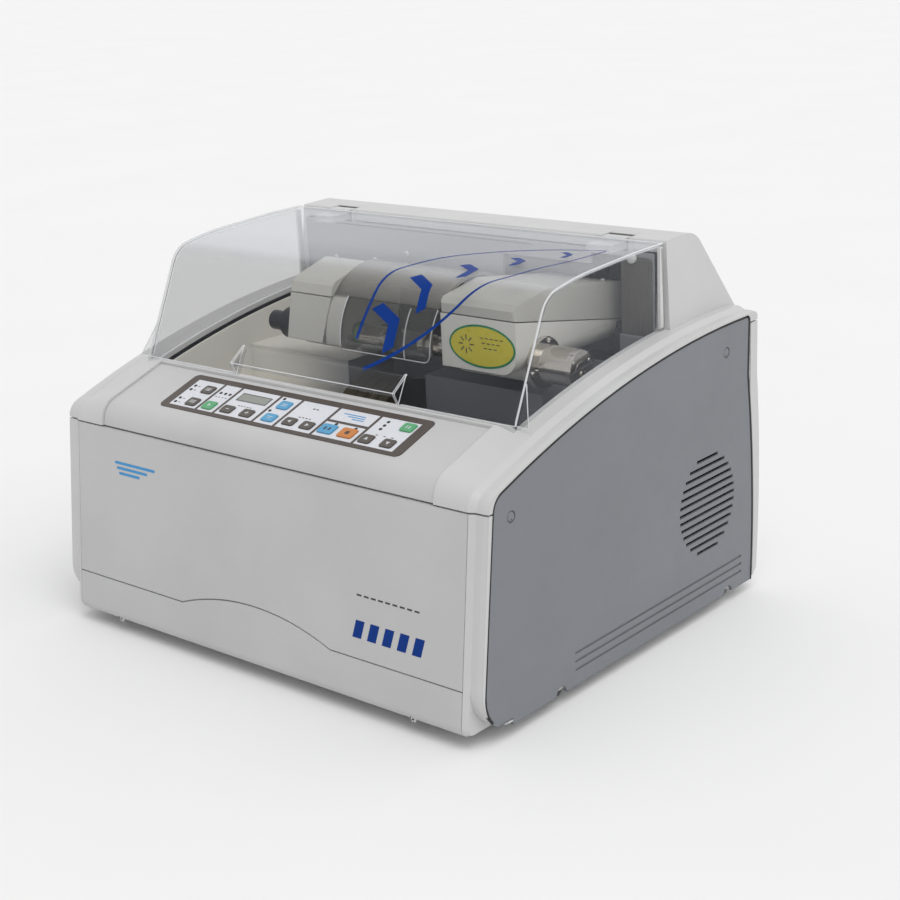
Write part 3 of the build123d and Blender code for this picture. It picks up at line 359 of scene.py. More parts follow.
def add_lathe(bm, origin, axis, profile, steps):
    # profile is a list of (radius, height) in mm, turned about the axis
    m = frame_of(origin, axis)
    rings = []
    for r, h in profile:
        if r == 0:
            rings.append([bm.verts.new(m @ Vector((0, 0, h * MM)))])
            continue
        ring = []
        for i in range(steps):
            a = 2 * math.pi * i / steps
            corner = Vector((r * MM * math.cos(a), r * MM * math.sin(a), h * MM))
            ring.append(bm.verts.new(m @ corner))
        rings.append(ring)
    for low, high in zip(rings, rings[1:]):
        for i in range(steps):
            j = (i + 1) % steps
            quad = [low[i % len(low)], low[j % len(low)], high[j % len(high)], high[i % len(high)]]
            corners = list(dict.fromkeys(quad))
            if len(corners) > 2:
                bm.faces.new(corners)


def add_prism(bm, origin, axis_u, axis_v, outline, low, high, index=0):
    # outline is a list of (u, v) in mm, raised from low to high along the normal
    u = Vector(axis_u).normalized()
    v = Vector(axis_v).normalized()
    n = u.cross(v)
    rings = []
    for w in (low, high):
        rings.append([bm.verts.new(Vector(origin) + (u * a + v * b + n * w) * MM)
                      for a, b in outline])
    count = len(outline)
    bm.faces.new(rings[1]).material_index = index
    bm.faces.new(list(reversed(rings[0]))).material_index = index
    for i in range(count):
        j = (i + 1) % count
        bm.faces.new([rings[0][i], rings[0][j], rings[1][j], rings[1][i]]).material_index = index


def turned_piece(name, origins, axis, profile, steps, mat, body):
    # one piece made of the same turned form at each origin
    bm = bmesh.new()
    for origin in origins:
        add_lathe(bm, origin, axis, profile, steps)
    finish_mesh(name, bm, [mat], body, True)


def raised_piece(name, origin, axis_u, axis_v, outline, low, high, mat, body):
    bm = bmesh.new()
    add_prism(bm, origin, axis_u, axis_v, outline, low, high)
    finish_mesh(name, bm, [mat], body)


def oblong(w, h, r=0.0, u=0.0, v=0.0, turn=0.0):
    # a rectangle with corners of radius r, centred on (u, v)
    pts = []
    r = min(r, w / 2, h / 2)
    for k, (sx, sy) in enumerate(((1, 1), (-1, 1), (-1, -1), (1, -1))):
        if r <= 0:
            pts.append((sx * w / 2, sy * h / 2))
            continue
        for i in range(CORNER_STEPS + 1):
            a = math.pi / 2 * (k + i / CORNER_STEPS)
            pts.append((sx * (w / 2 - r) + r * math.cos(a), sy * (h / 2 - r) + r * math.sin(a)))
    c, s = math.cos(turn), math.sin(turn)
    return [(u + a * c - b * s, v + a * s + b * c) for a, b in pts]


def oval(w, h):
    angles = [2 * math.pi * i / OVAL_STEPS for i in range(OVAL_STEPS)]
    return [(w / 2 * math.cos(a), h / 2 * math.sin(a)) for a in angles]


def screw(name, origin, axis, r, h, body, mat):
    # pan head with a cross recess
    bm = bmesh.new()
    head = [(r * 0.5, -1.5), (r, -1.5), (r, h * 0.35), (r * 0.93, h * 0.7), (r * 0.7, h * 0.93),
            (r * 0.3, h), (0, h)]
    add_lathe(bm, origin, axis, head, 24)
    turn = frame_of(origin, axis).to_3x3()
    ux = turn @ Vector((math.cos(SCREW_TURN), math.sin(SCREW_TURN), 0))
    uy = turn @ Vector((-math.sin(SCREW_TURN), math.cos(SCREW_TURN), 0))
    for a, b in ((1.05 * r, 0.26 * r), (0.26 * r, 1.05 * r)):
        add_prism(bm, origin, ux, uy, oblong(a, b, 0.1 * r), h * 0.9, h + 0.04, 1)
    finish_mesh(name, bm, [mat, dark_ink], body)


def tube(name, points, r, body, mat):
    curve = bpy.data.curves.new(name, "CURVE")
    curve.dimensions = "3D"
    curve.bevel_depth = r * MM
    curve.bevel_resolution = 2
    line = curve.splines.new("POLY")
    line.points.add(len(points) - 1)
    for p, co in zip(line.points, points):
        p.co = (*co, 1)
    curve.materials.append(mat)
    finish_piece(name, curve, body)


def rounded_path(points, radii, steps):
    # a path through (y, z) points with each inner corner rounded
    out = [Vector(points[0])]
    for i in range(1, len(points) - 1):
        p, a, b = Vector(points[i]), Vector(points[i - 1]), Vector(points[i + 1])
        r = radii[i]
        if r <= 0:
            out.append(p)
            continue
        d1, d2 = (a - p).normalized(), (b - p).normalized()
        half = math.acos(max(-1, min(1, d1.dot(d2)))) / 2
        reach = r / math.tan(half)
        centre = p + (d1 + d2).normalized() * (r / math.sin(half))
        v0, v1 = p + d1 * reach - centre, p + d2 * reach - centre
        sweep = v0.angle(v1)
        for k in range(steps + 1):
            t = k / steps
            v = (v0 * math.sin((1 - t) * sweep) + v1 * math.sin(t * sweep)) / math.sin(sweep)
            out.append(centre + v)
    out.append(Vector(points[-1]))
    return out


# ------------------------------------------------------------------ lid: painted highlight and shade lines along its edges, seals, print
LID_X = 232.0                 # half the width of the lid
EDGE_X = LID_X - 1.0          # where the painted highlight lines across the lid end
LID_SHEET = 3.3
LID_LINE = [(-120.4, 251.2), (-72.2, 354.8), (-24.0, 362.8), (62.0, 367.2), (104.6, 367.6)]
LID_BENDS = [0, 30.0, 250.0, 0, 0]
RAIL_STEPS = 60
lid_path = rounded_path(LID_LINE, LID_BENDS, 10)
lid_length = sum((b - a).length for a, b in zip(lid_path, lid_path[1:]))


def on_lid(x, s, lift):
    # a point s mm up the lid's outer line from its foot, and lift mm above it
    for a, b in zip(lid_path, lid_path[1:]):
        step = (b - a).length
        if s <= step or b is lid_path[-1]:
            d = (b - a) / step
            p = a + d * min(s, step)
            n = Vector((-d.y, d.x))
            return at(x, p.x + n.x * lift, p.y + n.y * lift)
        s -= step


def lid_rail(x, lift, s0, s1):
    places = [s0 + (s1 - s0) * i / RAIL_STEPS for i in range(RAIL_STEPS + 1)]
    return [on_lid(x, s, lift) for s in places]


# draws a painted highlight line along the lid, or a painted shade line when given edge_shade
def lid_edge(name, points, r, mat=edge_highlight):
    tube(name, points, r, "lid", mat)


for tag, side in SIDES:
    outer = lid_rail(side * (LID_X - 0.5), -0.6, 1.5, lid_length - 0.5)
    inner = lid_rail(side * (LID_X - LID_SHEET), -LID_SHEET, 4.0, lid_length - 2)
    shadow = lid_rail(side * (LID_X - 2.0), -2.0, 4.0, lid_length - 2)
    lid_edge("lid_highlight_outer_" + tag, outer, 0.75)
    lid_edge("lid_highlight_inner_" + tag, inner, 0.5)
    lid_edge("lid_edge_shadow_" + tag, shadow, 0.35, edge_shade)
    raised_piece("lid_rear_seal_" + tag, at(side * (LID_X - 1.5), 101.8, 326.0), X_AXIS, Z_AXIS,
                 oblong(3.0, 75.5, 1.2), -2.6, 2.6, seal_white, "lid")

HOOD_X = 104.5                # half the width of the finger hood
lid_edge("lid_foot_highlight_left", [on_lid(x, 1.2, -0.8) for x in (-EDGE_X, -HOOD_X)], 0.6)
lid_edge("lid_foot_highlight_right", [on_lid(x, 1.2, -0.8) for x in (HOOD_X, EDGE_X)], 0.6)
lid_edge("lid_rear_highlight", [on_lid(x, lid_length - 0.6, -0.7) for x in (-EDGE_X, EDGE_X)], 0.6)

# a small clear fin stands outside each lower front corner of the lid
FIN_WIDE = 12.5
FIN_TALL = 38.0
FIN_FOOT = 1.5
FIN_THICK = 1.2
behind = Vector((0, FIN_THICK * MM, 0))
for tag, side in SIDES:
    root_x = side * (LID_X - 0.2)
    apex = on_lid(root_x, FIN_TALL, -FIN_THICK)
    root = on_lid(root_x, FIN_FOOT, -FIN_THICK)
    toe = on_lid(side * (LID_X + FIN_WIDE), FIN_FOOT, -FIN_THICK)
    bm = bmesh.new()
    front_face = [bm.verts.new(v) for v in (apex, root, toe)]
    rear_face = [bm.verts.new(v + behind) for v in (apex, root, toe)]
    bm.faces.new(front_face)
    bm.faces.new(rear_face[::-1])
    for i in range(3):
        j = (i + 1) % 3
        bm.faces.new([front_face[i], front_face[j], rear_face[j], rear_face[i]])
    finish_mesh("lid_fin_" + tag, bm, [clear_lid], "lid")
    # a painted highlight line along the fin's edges
    lid_edge("lid_fin_highlight_" + tag, [p + behind * 0.5 for p in (root, toe, apex)], 0.55)

# painted highlight lines along the finger hood's edges; its corners are given as (y, z)
HOOD_TOP = (-108.4, 277.0)
HOOD_LIP = (-128.0, 262.8)
HOOD_FOOT = (-121.4, 251.6)
lip_line = [at(x, HOOD_LIP[0] + 1.0, HOOD_LIP[1] + 1.0) for x in (0.6 - HOOD_X, HOOD_X - 0.6)]
lid_edge("hood_lip_highlight", lip_line, 0.5)
lip_turn = (HOOD_LIP[0] + 0.9, HOOD_LIP[1] + 0.7)
gusset = rounded_path([HOOD_TOP, lip_turn, HOOD_FOOT], [0, 2.0, 0], 5)
for tag, side in SIDES:
    for rim, x in (("outer", HOOD_X - 0.6), ("inner", HOOD_X - 2.6)):
        lid_edge("hood_edge_%s_%s" % (rim, tag), [at(side * x, p.x, p.y) for p in gusset], 0.4)
    root_line = [at(side * (HOOD_X - 1.6), y, z) for y, z in (HOOD_TOP, HOOD_FOOT)]
    lid_edge("hood_root_highlight_" + tag, root_line, 0.5)

PRINT_LIFT = 0.25             # the lid's print lies this far above the sheet
PRINT_CELL = 3.0
ARC_STEPS = 28


def lid_print(name, outline):
    # a flat shape given in (x, s), cut fine enough to follow the bend of the lid
    bm = bmesh.new()
    face = bm.faces.new([bm.verts.new((x, s, 0)) for x, s in outline])
    bmesh.ops.triangulate(bm, faces=[face])
    cut = min(s for x, s in outline) + PRINT_CELL
    top = max(s for x, s in outline)
    while cut < top:
        geom = bm.verts[:] + bm.edges[:] + bm.faces[:]
        bmesh.ops.bisect_plane(bm, geom=geom, plane_co=(0, cut, 0), plane_no=Y_AXIS)
        cut += PRINT_CELL
    for v in bm.verts:
        v.co = on_lid(v.co.x, v.co.y, PRINT_LIFT)
    finish_mesh(name, bm, [blue_ink], "lid")


def ribbon(points, widths):
    # outline of a line of changing width through (x, s) points
    left, right = [], []
    for i, (x, s) in enumerate(points):
        a = points[max(i - 1, 0)]
        b = points[min(i + 1, len(points) - 1)]
        d = Vector((b[0] - a[0], b[1] - a[1])).normalized()
        w = widths[0] + (widths[1] - widths[0]) * i / (len(points) - 1)
        left.append((x - d.y * w / 2, s + d.x * w / 2))
        right.append((x + d.y * w / 2, s - d.x * w / 2))
    return left + right[::-1]


def arc_points(x0, s0, x1, s1, bow):
    # points of a bowed line between two places on the lid
    length = math.hypot(x1 - x0, s1 - s0)
    nx, ns = (s0 - s1) / length, (x1 - x0) / length
    out = []
    for i in range(ARC_STEPS + 1):
        t = i / ARC_STEPS
        k = bow * 4 * t * (1 - t)
        out.append((x0 + (x1 - x0) * t + nx * k, s0 + (s1 - s0) * t + ns * k))
    return out


# two crossing swooshes with a row of bold slanted chevrons between them
SWOOSH_TIP = (206.0, 238.0)
CHEVRON = [(-8, -15), (1, -15), (10, 0), (1, 15), (-8, 15), (1, 0)]
CHEVRON_TURN = 0.55           # radians
lid_print("lid_swoosh_upper", ribbon(arc_points(36.0, 52.0, *SWOOSH_TIP, 44.0), (3.2, 1.3)))
lid_print("lid_swoosh_lower", ribbon(arc_points(52.0, 26.0, *SWOOSH_TIP, -34.0), (3.6, 1.3)))
c, n = math.cos(CHEVRON_TURN), math.sin(CHEVRON_TURN)
for i in range(5):
    k = 1.5 - 0.22 * i
    x = 68.0 + 28.0 * i
    s = 68.0 + 36.0 * i
    shape = [(x + k * (a * c - b * n), s + k * (a * n + b * c)) for a, b in CHEVRON]
    lid_print("lid_chevron_%d" % i, shape)

# ------------------------------------------------------------------ carriage: label, motor, chucks
# the label is an oval of two tones with rows of dashes beside a plain sun mark
LABEL_AT = at(131.5, -37.0, 289.5)
label = [(oval(76.0, 40.0), 0.05, 0.35, 0), (oval(72.0, 36.0), 0.30, 0.42, 1)]
for i in range(3):
    for k in range(5 - i):
        label.append((oblong(3.6, 1.0, 0, 5.6 * k + 2.0 * i, 8.0 - 4.6 * i), 0.40, 0.46, 2))
for i in range(8):
    a = 2 * math.pi * i / 8
    spoke = oblong(5.0, 1.2, 0, -18.0 + 6.4 * math.cos(a), 0.5 + 6.4 * math.sin(a), a)
    label.append((spoke, 0.40, 0.46, 2))
bm = bmesh.new()
for outline, low, high, index in label:
    add_prism(bm, LABEL_AT, X_AXIS, Z_AXIS, outline, low, high, index)
finish_mesh("oval_label", bm, [label_green, label_yellow, dark_ink], "carriage")

SHAFT_Y = 1.0
SHAFT_Z = 271.0
CAN_END = 213.0               # end face of the clamp motor
CAN_RADIUS = 17.6
FLANGE_FACE = 173.8


def on_shaft(x):
    return at(x, SHAFT_Y, SHAFT_Z)


def three_screws(name, x, circle, first, r, h):
    for i in range(3):
        a = math.radians(first + 120 * i)
        place = at(x, SHAFT_Y + circle * math.cos(a), SHAFT_Z + circle * math.sin(a))
        screw("%s_%d" % (name, i), place, X_AXIS, r, h, "carriage", bright_steel)


three_screws("motor_screw", CAN_END - 0.6, 13.2, 25, 2.1, 1.6)
three_screws("flange_screw", FLANGE_FACE, 21.0, 75, 2.3, 2.2)
half_round = [math.pi * i / 20 for i in range(21)]
dome = [(9.0 * math.cos(a), 9.0 * math.sin(a)) for a in half_round]
raised_piece("motor_mark", at(CAN_END, SHAFT_Y, SHAFT_Z - 2.0), Y_AXIS, Z_AXIS,
             dome, -0.2, 0.25, bright_steel, "carriage")
sunk, proud = CAN_RADIUS - 0.3, CAN_RADIUS + 0.12
turned_piece("motor_bands", [on_shaft(178.0), on_shaft(207.5)], X_AXIS,
             [(sunk, 0), (proud, 0.15), (proud, 0.75), (sunk, 0.9)], 40,
             bright_steel, "carriage")

# the right lobe's lower casing runs on past the end of the carriage beam
CASING_BEND = 18.0
casing_turns = [math.radians(62.0) * i / 8 for i in range(9)]
section = [(160.3, 284.3), (169.9, 284.3)]
section += [(151.9 + CASING_BEND * math.cos(a), 284.0 - CASING_BEND * math.sin(a))
            for a in casing_turns]
# the apron also takes the paler casing copy, painted light
raised_piece("lobe_apron_right", at(0, 0, 0), X_AXIS, Z_AXIS, section, -118.0, -59.0,
             casing_painted_light, "carriage")
screw("lobe_screw_right", at(160.0, 112.0, 323.6), (0, 0.15, 1), 3.2, 3.0, "carriage", bright_steel)

CHUCK_PAD = [(11.0, 0), (11.4, 0.2), (11.2, 1.2), (8.0, 1.7), (0, 1.75)]
turned_piece("chuck_ring", [on_shaft(-54.6)], X_AXIS,
             [(9.4, 0.2), (10.5, 0.4), (10.5, 3.0), (9.4, 3.2)], 40,
             ring_green, "left_spindle")
turned_piece("chuck_bands", [on_shaft(x) for x in (-48.0, -43.0, -20.0)], X_AXIS,
             [(9.3, 0), (9.75, 0.2), (9.75, 1.2), (9.3, 1.4)], 40,
             bright_steel, "left_spindle")
turned_piece("chuck_pad_left", [on_shaft(-8.0)], X_AXIS, CHUCK_PAD, 32,
             rubber_black, "left_spindle")
turned_piece("chuck_pad_right", [on_shaft(30.0)], (-1, 0, 0), CHUCK_PAD, 32,
             rubber_black, "right_spindle")
barrel = [(7.9, 0), (9.6, 0.2), (10.1, 0.8), (10.1, 8.0), (9.7, 8.3), (9.7, 9.3), (10.1, 9.6),
          (10.1, 34.2), (9.4, 35.0), (7.9, 35.2)]
turned_piece("chuck_barrel_right", [on_shaft(36.4)], X_AXIS, barrel, 40,
             materials["steel"], "right_spindle")

# painted highlight lines along the splash shield's moulded edges, on an arc round the splash hood's
# axis
SHIELD_Y = 14.0
SHIELD_Z = 276.0
SHIELD_R = 66.0


def on_shield(x, angle, r=SHIELD_R - 0.4):
    a = math.radians(angle)
    return at(x, SHIELD_Y - r * math.cos(a), SHIELD_Z + r * math.sin(a))


def shield_highlight(name, points, r):
    tube(name, points, r, "carriage", edge_highlight)


shield_highlight("shield_rib_highlight", [on_shield(50.0, -5.0 + 3.0 * i) for i in range(15)], 0.6)
corner_turns = [math.radians(t) for t in range(0, 91, 15)]
edge = [on_shield(-29.5, -5.2), on_shield(20.0, -5.2)]
edge += [on_shield(73.0 + 8.5 * math.sin(t), 2.4 - 7.6 * math.cos(t)) for t in corner_turns]
edge += [on_shield(81.5, 2.4 + 4.1 * i) for i in range(1, 10)]
shield_highlight("shield_highlight", edge, 0.5)
cheek_line = [on_shield(-30.2, -3.0 + 4.3 * i, SHIELD_R + 0.1) for i in range(11)]
shield_highlight("cheek_highlight", cheek_line, 0.7)

# ------------------------------------------------------------------ splash wall: screws and a painted shade line
WALL_FACE = 104.0
WALL_SCREWS = ((-179.0, 317.0), (-124.0, 319.0), (-79.0, 329.0), (-81.0, 317.5))
for i, (x, z) in enumerate(WALL_SCREWS):
    screw("wall_screw_%d" % i, at(x, WALL_FACE, z), FORWARD, 2.6, 2.2, "housing", seal_white)
# a thin dark line along the top of the wall: painted shade
raised_piece("wall_shade_line", at(-53.5, WALL_FACE, 353.4), X_AXIS, Z_AXIS,
             oblong(270.0, 1.3, 0.6), 0.02, 0.12, dark_ink, "housing")

# ------------------------------------------------------------------ dark sheets round the wall: painted shade
HUMP_X = 221.0
HUMP_LINE = [(134.0, 362.6), (155.0, 363.0), (188.5, 318.0), (188.5, 237.0)]
HUMP_FRONT = [(108.0, 237.0), (108.0, 356.0)]
# a dark sheet inside the hump: painted shade behind the wall's opening
bm = bmesh.new()
for a, b in zip(HUMP_LINE, HUMP_LINE[1:]):
    corners = ((-HUMP_X, a), (HUMP_X, a), (HUMP_X, b), (-HUMP_X, b))
    bm.faces.new([bm.verts.new(at(x, *p)) for x, p in corners])
for x in (-HUMP_X - 0.2, HUMP_X + 0.2):
    bm.faces.new([bm.verts.new(at(x, y, z)) for y, z in HUMP_LINE + HUMP_FRONT])
finish_mesh("hump_shade_lining", bm, [shade_lining], "housing")

# a dark folded sheet before the wall's right end: painted shade where the chamber behind the right
# lobe is dark
SHADE_SHEET_Z = 307.0
bm = bmesh.new()
add_prism(bm, at(203.5, WALL_FACE, SHADE_SHEET_Z), X_AXIS, Z_AXIS, oblong(34.0, 89.0, 4.0), 0.1, 1.1)
for i in range(9):
    fold_at = at(190.5 + 3.3 * i, WALL_FACE, SHADE_SHEET_Z)
    add_prism(bm, fold_at, X_AXIS, Z_AXIS, oblong(0.9, 84.0, 0.4), 1.0, 1.5)
finish_mesh("wall_shade_sheet", bm, [shade_sheet_grey], "housing")
turned_piece("lid_bumper", [at(199.5, WALL_FACE - 1.4, 350.5)], FORWARD,
             [(4.6, -0.5), (4.6, 2.4), (3.8, 3.2), (0, 3.4)], 24,
             seal_white, "housing")

HINGE_X = 175.0
HINGE_COVER = [(124.2, 366.9), (131.9, 366.9), (131.9, 368.2), (124.2, 367.9)]
HINGE_PAD = [(108.0, 364.0), (119.5, 364.0), (119.5, 367.0), (118.5, 367.4), (109.0, 367.2),
             (108.0, 366.8)]
for tag, side in SIDES:
    hinge_at = at(side * HINGE_X, 0, 0)
    raised_piece("hinge_cover_" + tag, hinge_at, Y_AXIS, Z_AXIS, HINGE_COVER, -14.9, 14.9,
                 cover_white, "housing")
    raised_piece("hinge_pad_" + tag, hinge_at, Y_AXIS, Z_AXIS, HINGE_PAD, -13.9, 13.9,
                 cover_white, "lid")

# ------------------------------------------------------------------ black strip round each side panel: painted shade in the gap
FRONT_Y = -220.6              # the front face at the height FRONT_Z
FRONT_Z = 53.3
FRONT_LEAN = 0.115            # how far it leans back for each mm of height
ARCH_Y = 186.5                # centre and radius of the cover's long arch
ARCH_Z = -796.2
ARCH_R = 1085.5


def front_y(z):
    return FRONT_Y + FRONT_LEAN * (z - FRONT_Z)


def arch_z(y, inset=0.0):
    return ARCH_Z + math.sqrt((ARCH_R - inset) ** 2 - (y - ARCH_Y) ** 2)


def arc_through(a, b, c, count):
    # points of the round arc from a through b to c, with its centre on the lower y side
    k = 2 * (a[0] * (b[1] - c[1]) + b[0] * (c[1] - a[1]) + c[0] * (a[1] - b[1]))
    sa, sb, sc = (p[0] ** 2 + p[1] ** 2 for p in (a, b, c))
    cy = (sa * (b[1] - c[1]) + sb * (c[1] - a[1]) + sc * (a[1] - b[1])) / k
    cz = (sa * (c[0] - b[0]) + sb * (a[0] - c[0]) + sc * (b[0] - a[0])) / k
    r = math.hypot(a[0] - cy, a[1] - cz)
    start = math.atan2(a[1] - cz, a[0] - cy)
    end = math.atan2(c[1] - cz, c[0] - cy)
    angles = [start + (end - start) * i / count for i in range(count + 1)]
    return [(cy + r * math.cos(t), cz + r * math.sin(t)) for t in angles]


PANEL_RIM = 6.0               # the panel stops this far inside the arch
PANEL_FOOT = 12.0
PANEL_REAR = 202.8
HOOK_TOP = 18.0               # in front the strip stops here, above the lip under the panel
BROW_Z = 217.4                # near the height where the front meets the arch
# the strip's section: (distance out from the panel's edge, X)
GAP_SHADE = ((-1.5, 264.25), (-1.3, 264.6), (0.6, 264.6), (0.9, 264.25), (0.9, 263.2))
low_front = front_y(PANEL_FOOT) + 8.0
brow_y = front_y(arch_z(front_y(BROW_Z))) + 9.6
rear_arc = ((PANEL_REAR - 1.8, 225.0), (209.6, 130.0), (208.7, PANEL_FOOT))
corners = [((low_front + 42.0, PANEL_FOOT), 0), ((low_front, PANEL_FOOT), 34.0)]
corners += [((brow_y, arch_z(brow_y, PANEL_RIM) + 0.3), 18.0)]
corners += [((y, arch_z(y, PANEL_RIM)), 0) for y in range(-150, 201, 25)]
corners += [((PANEL_REAR, arch_z(PANEL_REAR, PANEL_RIM)), 5.0)]
corners += [(p, 0) for p in arc_through(*rear_arc, 8)]
gap_path = rounded_path([p for p, r in corners], [r for p, r in corners], 6)
gap_path = [p for p in gap_path if p.y > HOOK_TOP or p.x > 0]
last = len(gap_path) - 1
for tag, side in SIDES:
    bm = bmesh.new()
    rows = []
    for i, p in enumerate(gap_path):
        d = (gap_path[min(i + 1, last)] - gap_path[max(i - 1, 0)]).normalized()
        out = Vector((-d.y, d.x))
        rows.append([bm.verts.new(at(side * x, *(p + out * k))) for k, x in GAP_SHADE])
    for a, b in zip(rows, rows[1:]):
        for k in range(len(GAP_SHADE) - 1):
            bm.faces.new([a[k], a[k + 1], b[k + 1], b[k]])
    finish_mesh("panel_gap_shade_" + tag, bm, [rubber_black], "housing")

# ------------------------------------------------------------------ screw caps, plugs, skirt screws
PANEL_X = 264.2
PLUG_X = 258.6
PLUG_Z = 14.6
CAP = [(4.4, -0.3), (4.4, 0.9), (4.0, 1.25), (0, 1.3)]
PLUG = [(5.6, -0.5), (5.6, 0.9), (4.6, 1.6), (0, 1.7)]
for tag, side in SIDES:
    for i, (y, z) in enumerate(((-169.9, 194.6), (161.5, 256.1))):
        bm = bmesh.new()
        add_lathe(bm, at(side * (PANEL_X - 1.4), y, z), (side, 0, 0), CAP, 32)
        notch_at = at(side * (PANEL_X - 0.2), y, z - 2.6)
        add_prism(bm, notch_at, (0, side, 0), Z_AXIS, oblong(2.0, 1.0, 0.4), 0.0, 0.12, 1)
        finish_mesh("panel_cap_%s_%d" % (tag, i), bm, [materials["panel_grey"], dark_ink],
                    "housing")
    for i, y in enumerate((-109.1, 165.3)):
        turned_piece("notch_plug_%s_%d" % (tag, i), [at(side * PLUG_X, y, PLUG_Z)], (side, 0, 0),
                     PLUG, 24, black_plastic, "housing")
for i, x in enumerate((-190.5, 190.5)):
    screw("skirt_screw_%d" % i, at(x, -219.5, 13.4), FORWARD, 3.2, 1.2, "housing", bright_steel)

# ------------------------------------------------------------------ keypad: lamps and symbols
PAD_AT = at(0, -121.0, 251.0)
SLOPE = math.atan(0.3295)
PAD_U = Vector(X_AXIS)
PAD_V = Vector((0, math.cos(SLOPE), math.sin(SLOPE)))
PAD_N = PAD_U.cross(PAD_V)
PLATE_TOP = -1.5              # heights along PAD_N, in mm
KEY_TOP = -0.4
INK = 0.04
QUARTER_TURN = math.pi / 2


def key_middle(name):
    low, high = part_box(name)
    p = (low + high) / 2 - PAD_AT
    return p.dot(PAD_U) / MM, p.dot(PAD_V) / MM


def pad_print(name, outlines, base, height, ink, body):
    bm = bmesh.new()
    for outline in outlines:
        add_prism(bm, PAD_AT, PAD_U, PAD_V, outline, base - 0.02, base + height)
    finish_mesh(name, bm, [ink], body)


lamps = [(-135.0, -26.4), (-135.0, -32.9), (-135.0, -47.8), (-135.0, -54.3), (-96.5, -29.4),
         (-90.2, -29.4), (-84.2, -29.4), (-20.8, -19.7), (-21.5, -39.6), (61.7, -39.3),
         (85.6, -39.9), (109.3, -22.3), (109.3, -27.9), (109.3, -33.5)]
spots = [PAD_AT + (PAD_U * u + PAD_V * v + PAD_N * PLATE_TOP) * MM for u, v in lamps]
turned_piece("keypad_lamps", spots, PAD_N, [(1.7, -0.1), (1.7, 0.25), (1.3, 0.5), (0, 0.6)], 16,
             black_plastic, "housing")

# short printed dashes beside the lamps and keys
# each row: count, width, height, corner radius, first u, step in u, v
DASH_ROWS = ((4, 2.0, 1.0, 0, -97.5, 4.4, -35.6),
             (5, 2.2, 1.1, 0, -60.0, 3.8, -41.8),
             (4, 2.6, 1.1, 0, 17.0, 4.2, -40.0),
             (2, 3.0, 1.6, 0.7, 22.0, 4.2, -25.2),
             (3, 2.4, 1.1, 0, 112.0, 9.0, -42.0))
dashes = [oblong(3.2, 0.8, 0, u + 5.0, v) for u, v in lamps[:4]]
for count, w, h, r, u, step, v in DASH_ROWS:
    dashes += [oblong(w, h, r, u + step * i, v) for i in range(count)]
pad_print("keypad_dashes", dashes, PLATE_TOP, INK, dark_ink, "housing")

# plain blue strokes on the blank plate
strokes = [oblong(26.0 - 6.0 * i, 1.3, 0.6, 70.0 + 4.0 * i, -22.6 - 2.9 * i) for i in range(3)]
pad_print("keypad_strokes", strokes, PLATE_TOP, INK, sky_ink, "housing")


def arrow(size, turn):
    tri = [(size, 0), (-0.6 * size, 0.85 * size), (-0.6 * size, -0.85 * size)]
    c, s = math.cos(turn), math.sin(turn)
    return [(a * c - b * s, a * s + b * c) for a, b in tri]


def key_symbol(name, outlines, ink=pale_ink):
    u, v = key_middle(name)
    moved = [[(u + a, v + b) for a, b in outline] for outline in outlines]
    pad_print(name + "_symbol", moved, KEY_TOP, 0.06, ink, name)


bar = oblong(4.6, 0.9)
upright = [oblong(0.9, 1.85, 0, 0, v) for v in (1.38, -1.38)]
key_symbol("key_minus", [bar])
key_symbol("key_plus", [bar] + upright)
for name, turns in (("key_left", 2), ("key_right", 0), ("key_up", 1), ("key_down", -1)):
    key_symbol(name, [arrow(2.6, turns * QUARTER_TURN)])
for name in ("key_menu", "key_select"):
    key_symbol(name, [oblong(7.0, 0.8, 0, 0, v) for v in (1.6, 0, -1.6)])
key_symbol("key_start_green", [arrow(2.4, 0)])
key_symbol("key_go_green", [oblong(1.3, 4.2, 0, u, 0) for u in (-1.6, 1.6)])
key_symbol("key_blue_upper", [oblong(6.6, 0.9, 0, 0, v) for v in (1.2, -1.2)])
key_symbol("key_blue_lower", [oblong(6.6, 0.9, 0, 0, 1.2), oblong(4.0, 0.9, 0, 0, -1.2)])
key_symbol("key_blue_wide", [oblong(2.2, 4.4, 0, u, 0) for u in (-2.6, 2.6)], dark_ink)
key_symbol("key_orange", [oblong(4.4, 4.4, 0.4)], dark_ink)

# dark surround of the display
u, v = key_middle("display_window")
surround = [oblong(38.6, 0.7, 0, u, v + k) for k in (5.6, -5.6)]
surround += [oblong(0.7, 10.5, 0, u + k, v) for k in (-18.9, 18.9)]
pad_print("display_surround", surround, PLATE_TOP + 0.2, 0.12, dark_ink, "housing")

# ------------------------------------------------------------------ front: plain strokes for print
FRONT_V = Vector((0, FRONT_LEAN, 1)).normalized()
SLANT = ((-40, -8), (-30, -8), (-26, 8), (-36, 8))


def front_print(name, outlines, x, z, ink):
    bm = bmesh.new()
    for outline in outlines:
        add_prism(bm, at(x, front_y(z), z), X_AXIS, FRONT_V, outline, -0.28, -0.12)
    finish_mesh(name, bm, [ink], "housing")


strokes = [oblong(58.0 - 14.0 * i, 2.6, 1.3, -4.0 * i, 5.0 - 5.0 * i) for i in range(3)]
slants = [[(17 * i + a, b) for a, b in SLANT] for i in range(5)]
dashes = [oblong(5.4, 1.5, 0, -33 + 8.2 * i, 0) for i in range(9)]
front_print("front_strokes_left", strokes, -163.0, 167.0, sky_ink)
front_print("front_strokes_right", slants, 163.0, 80.0, blue_ink)
front_print("front_dashes", dashes, 163.0, 110.5, dark_ink)

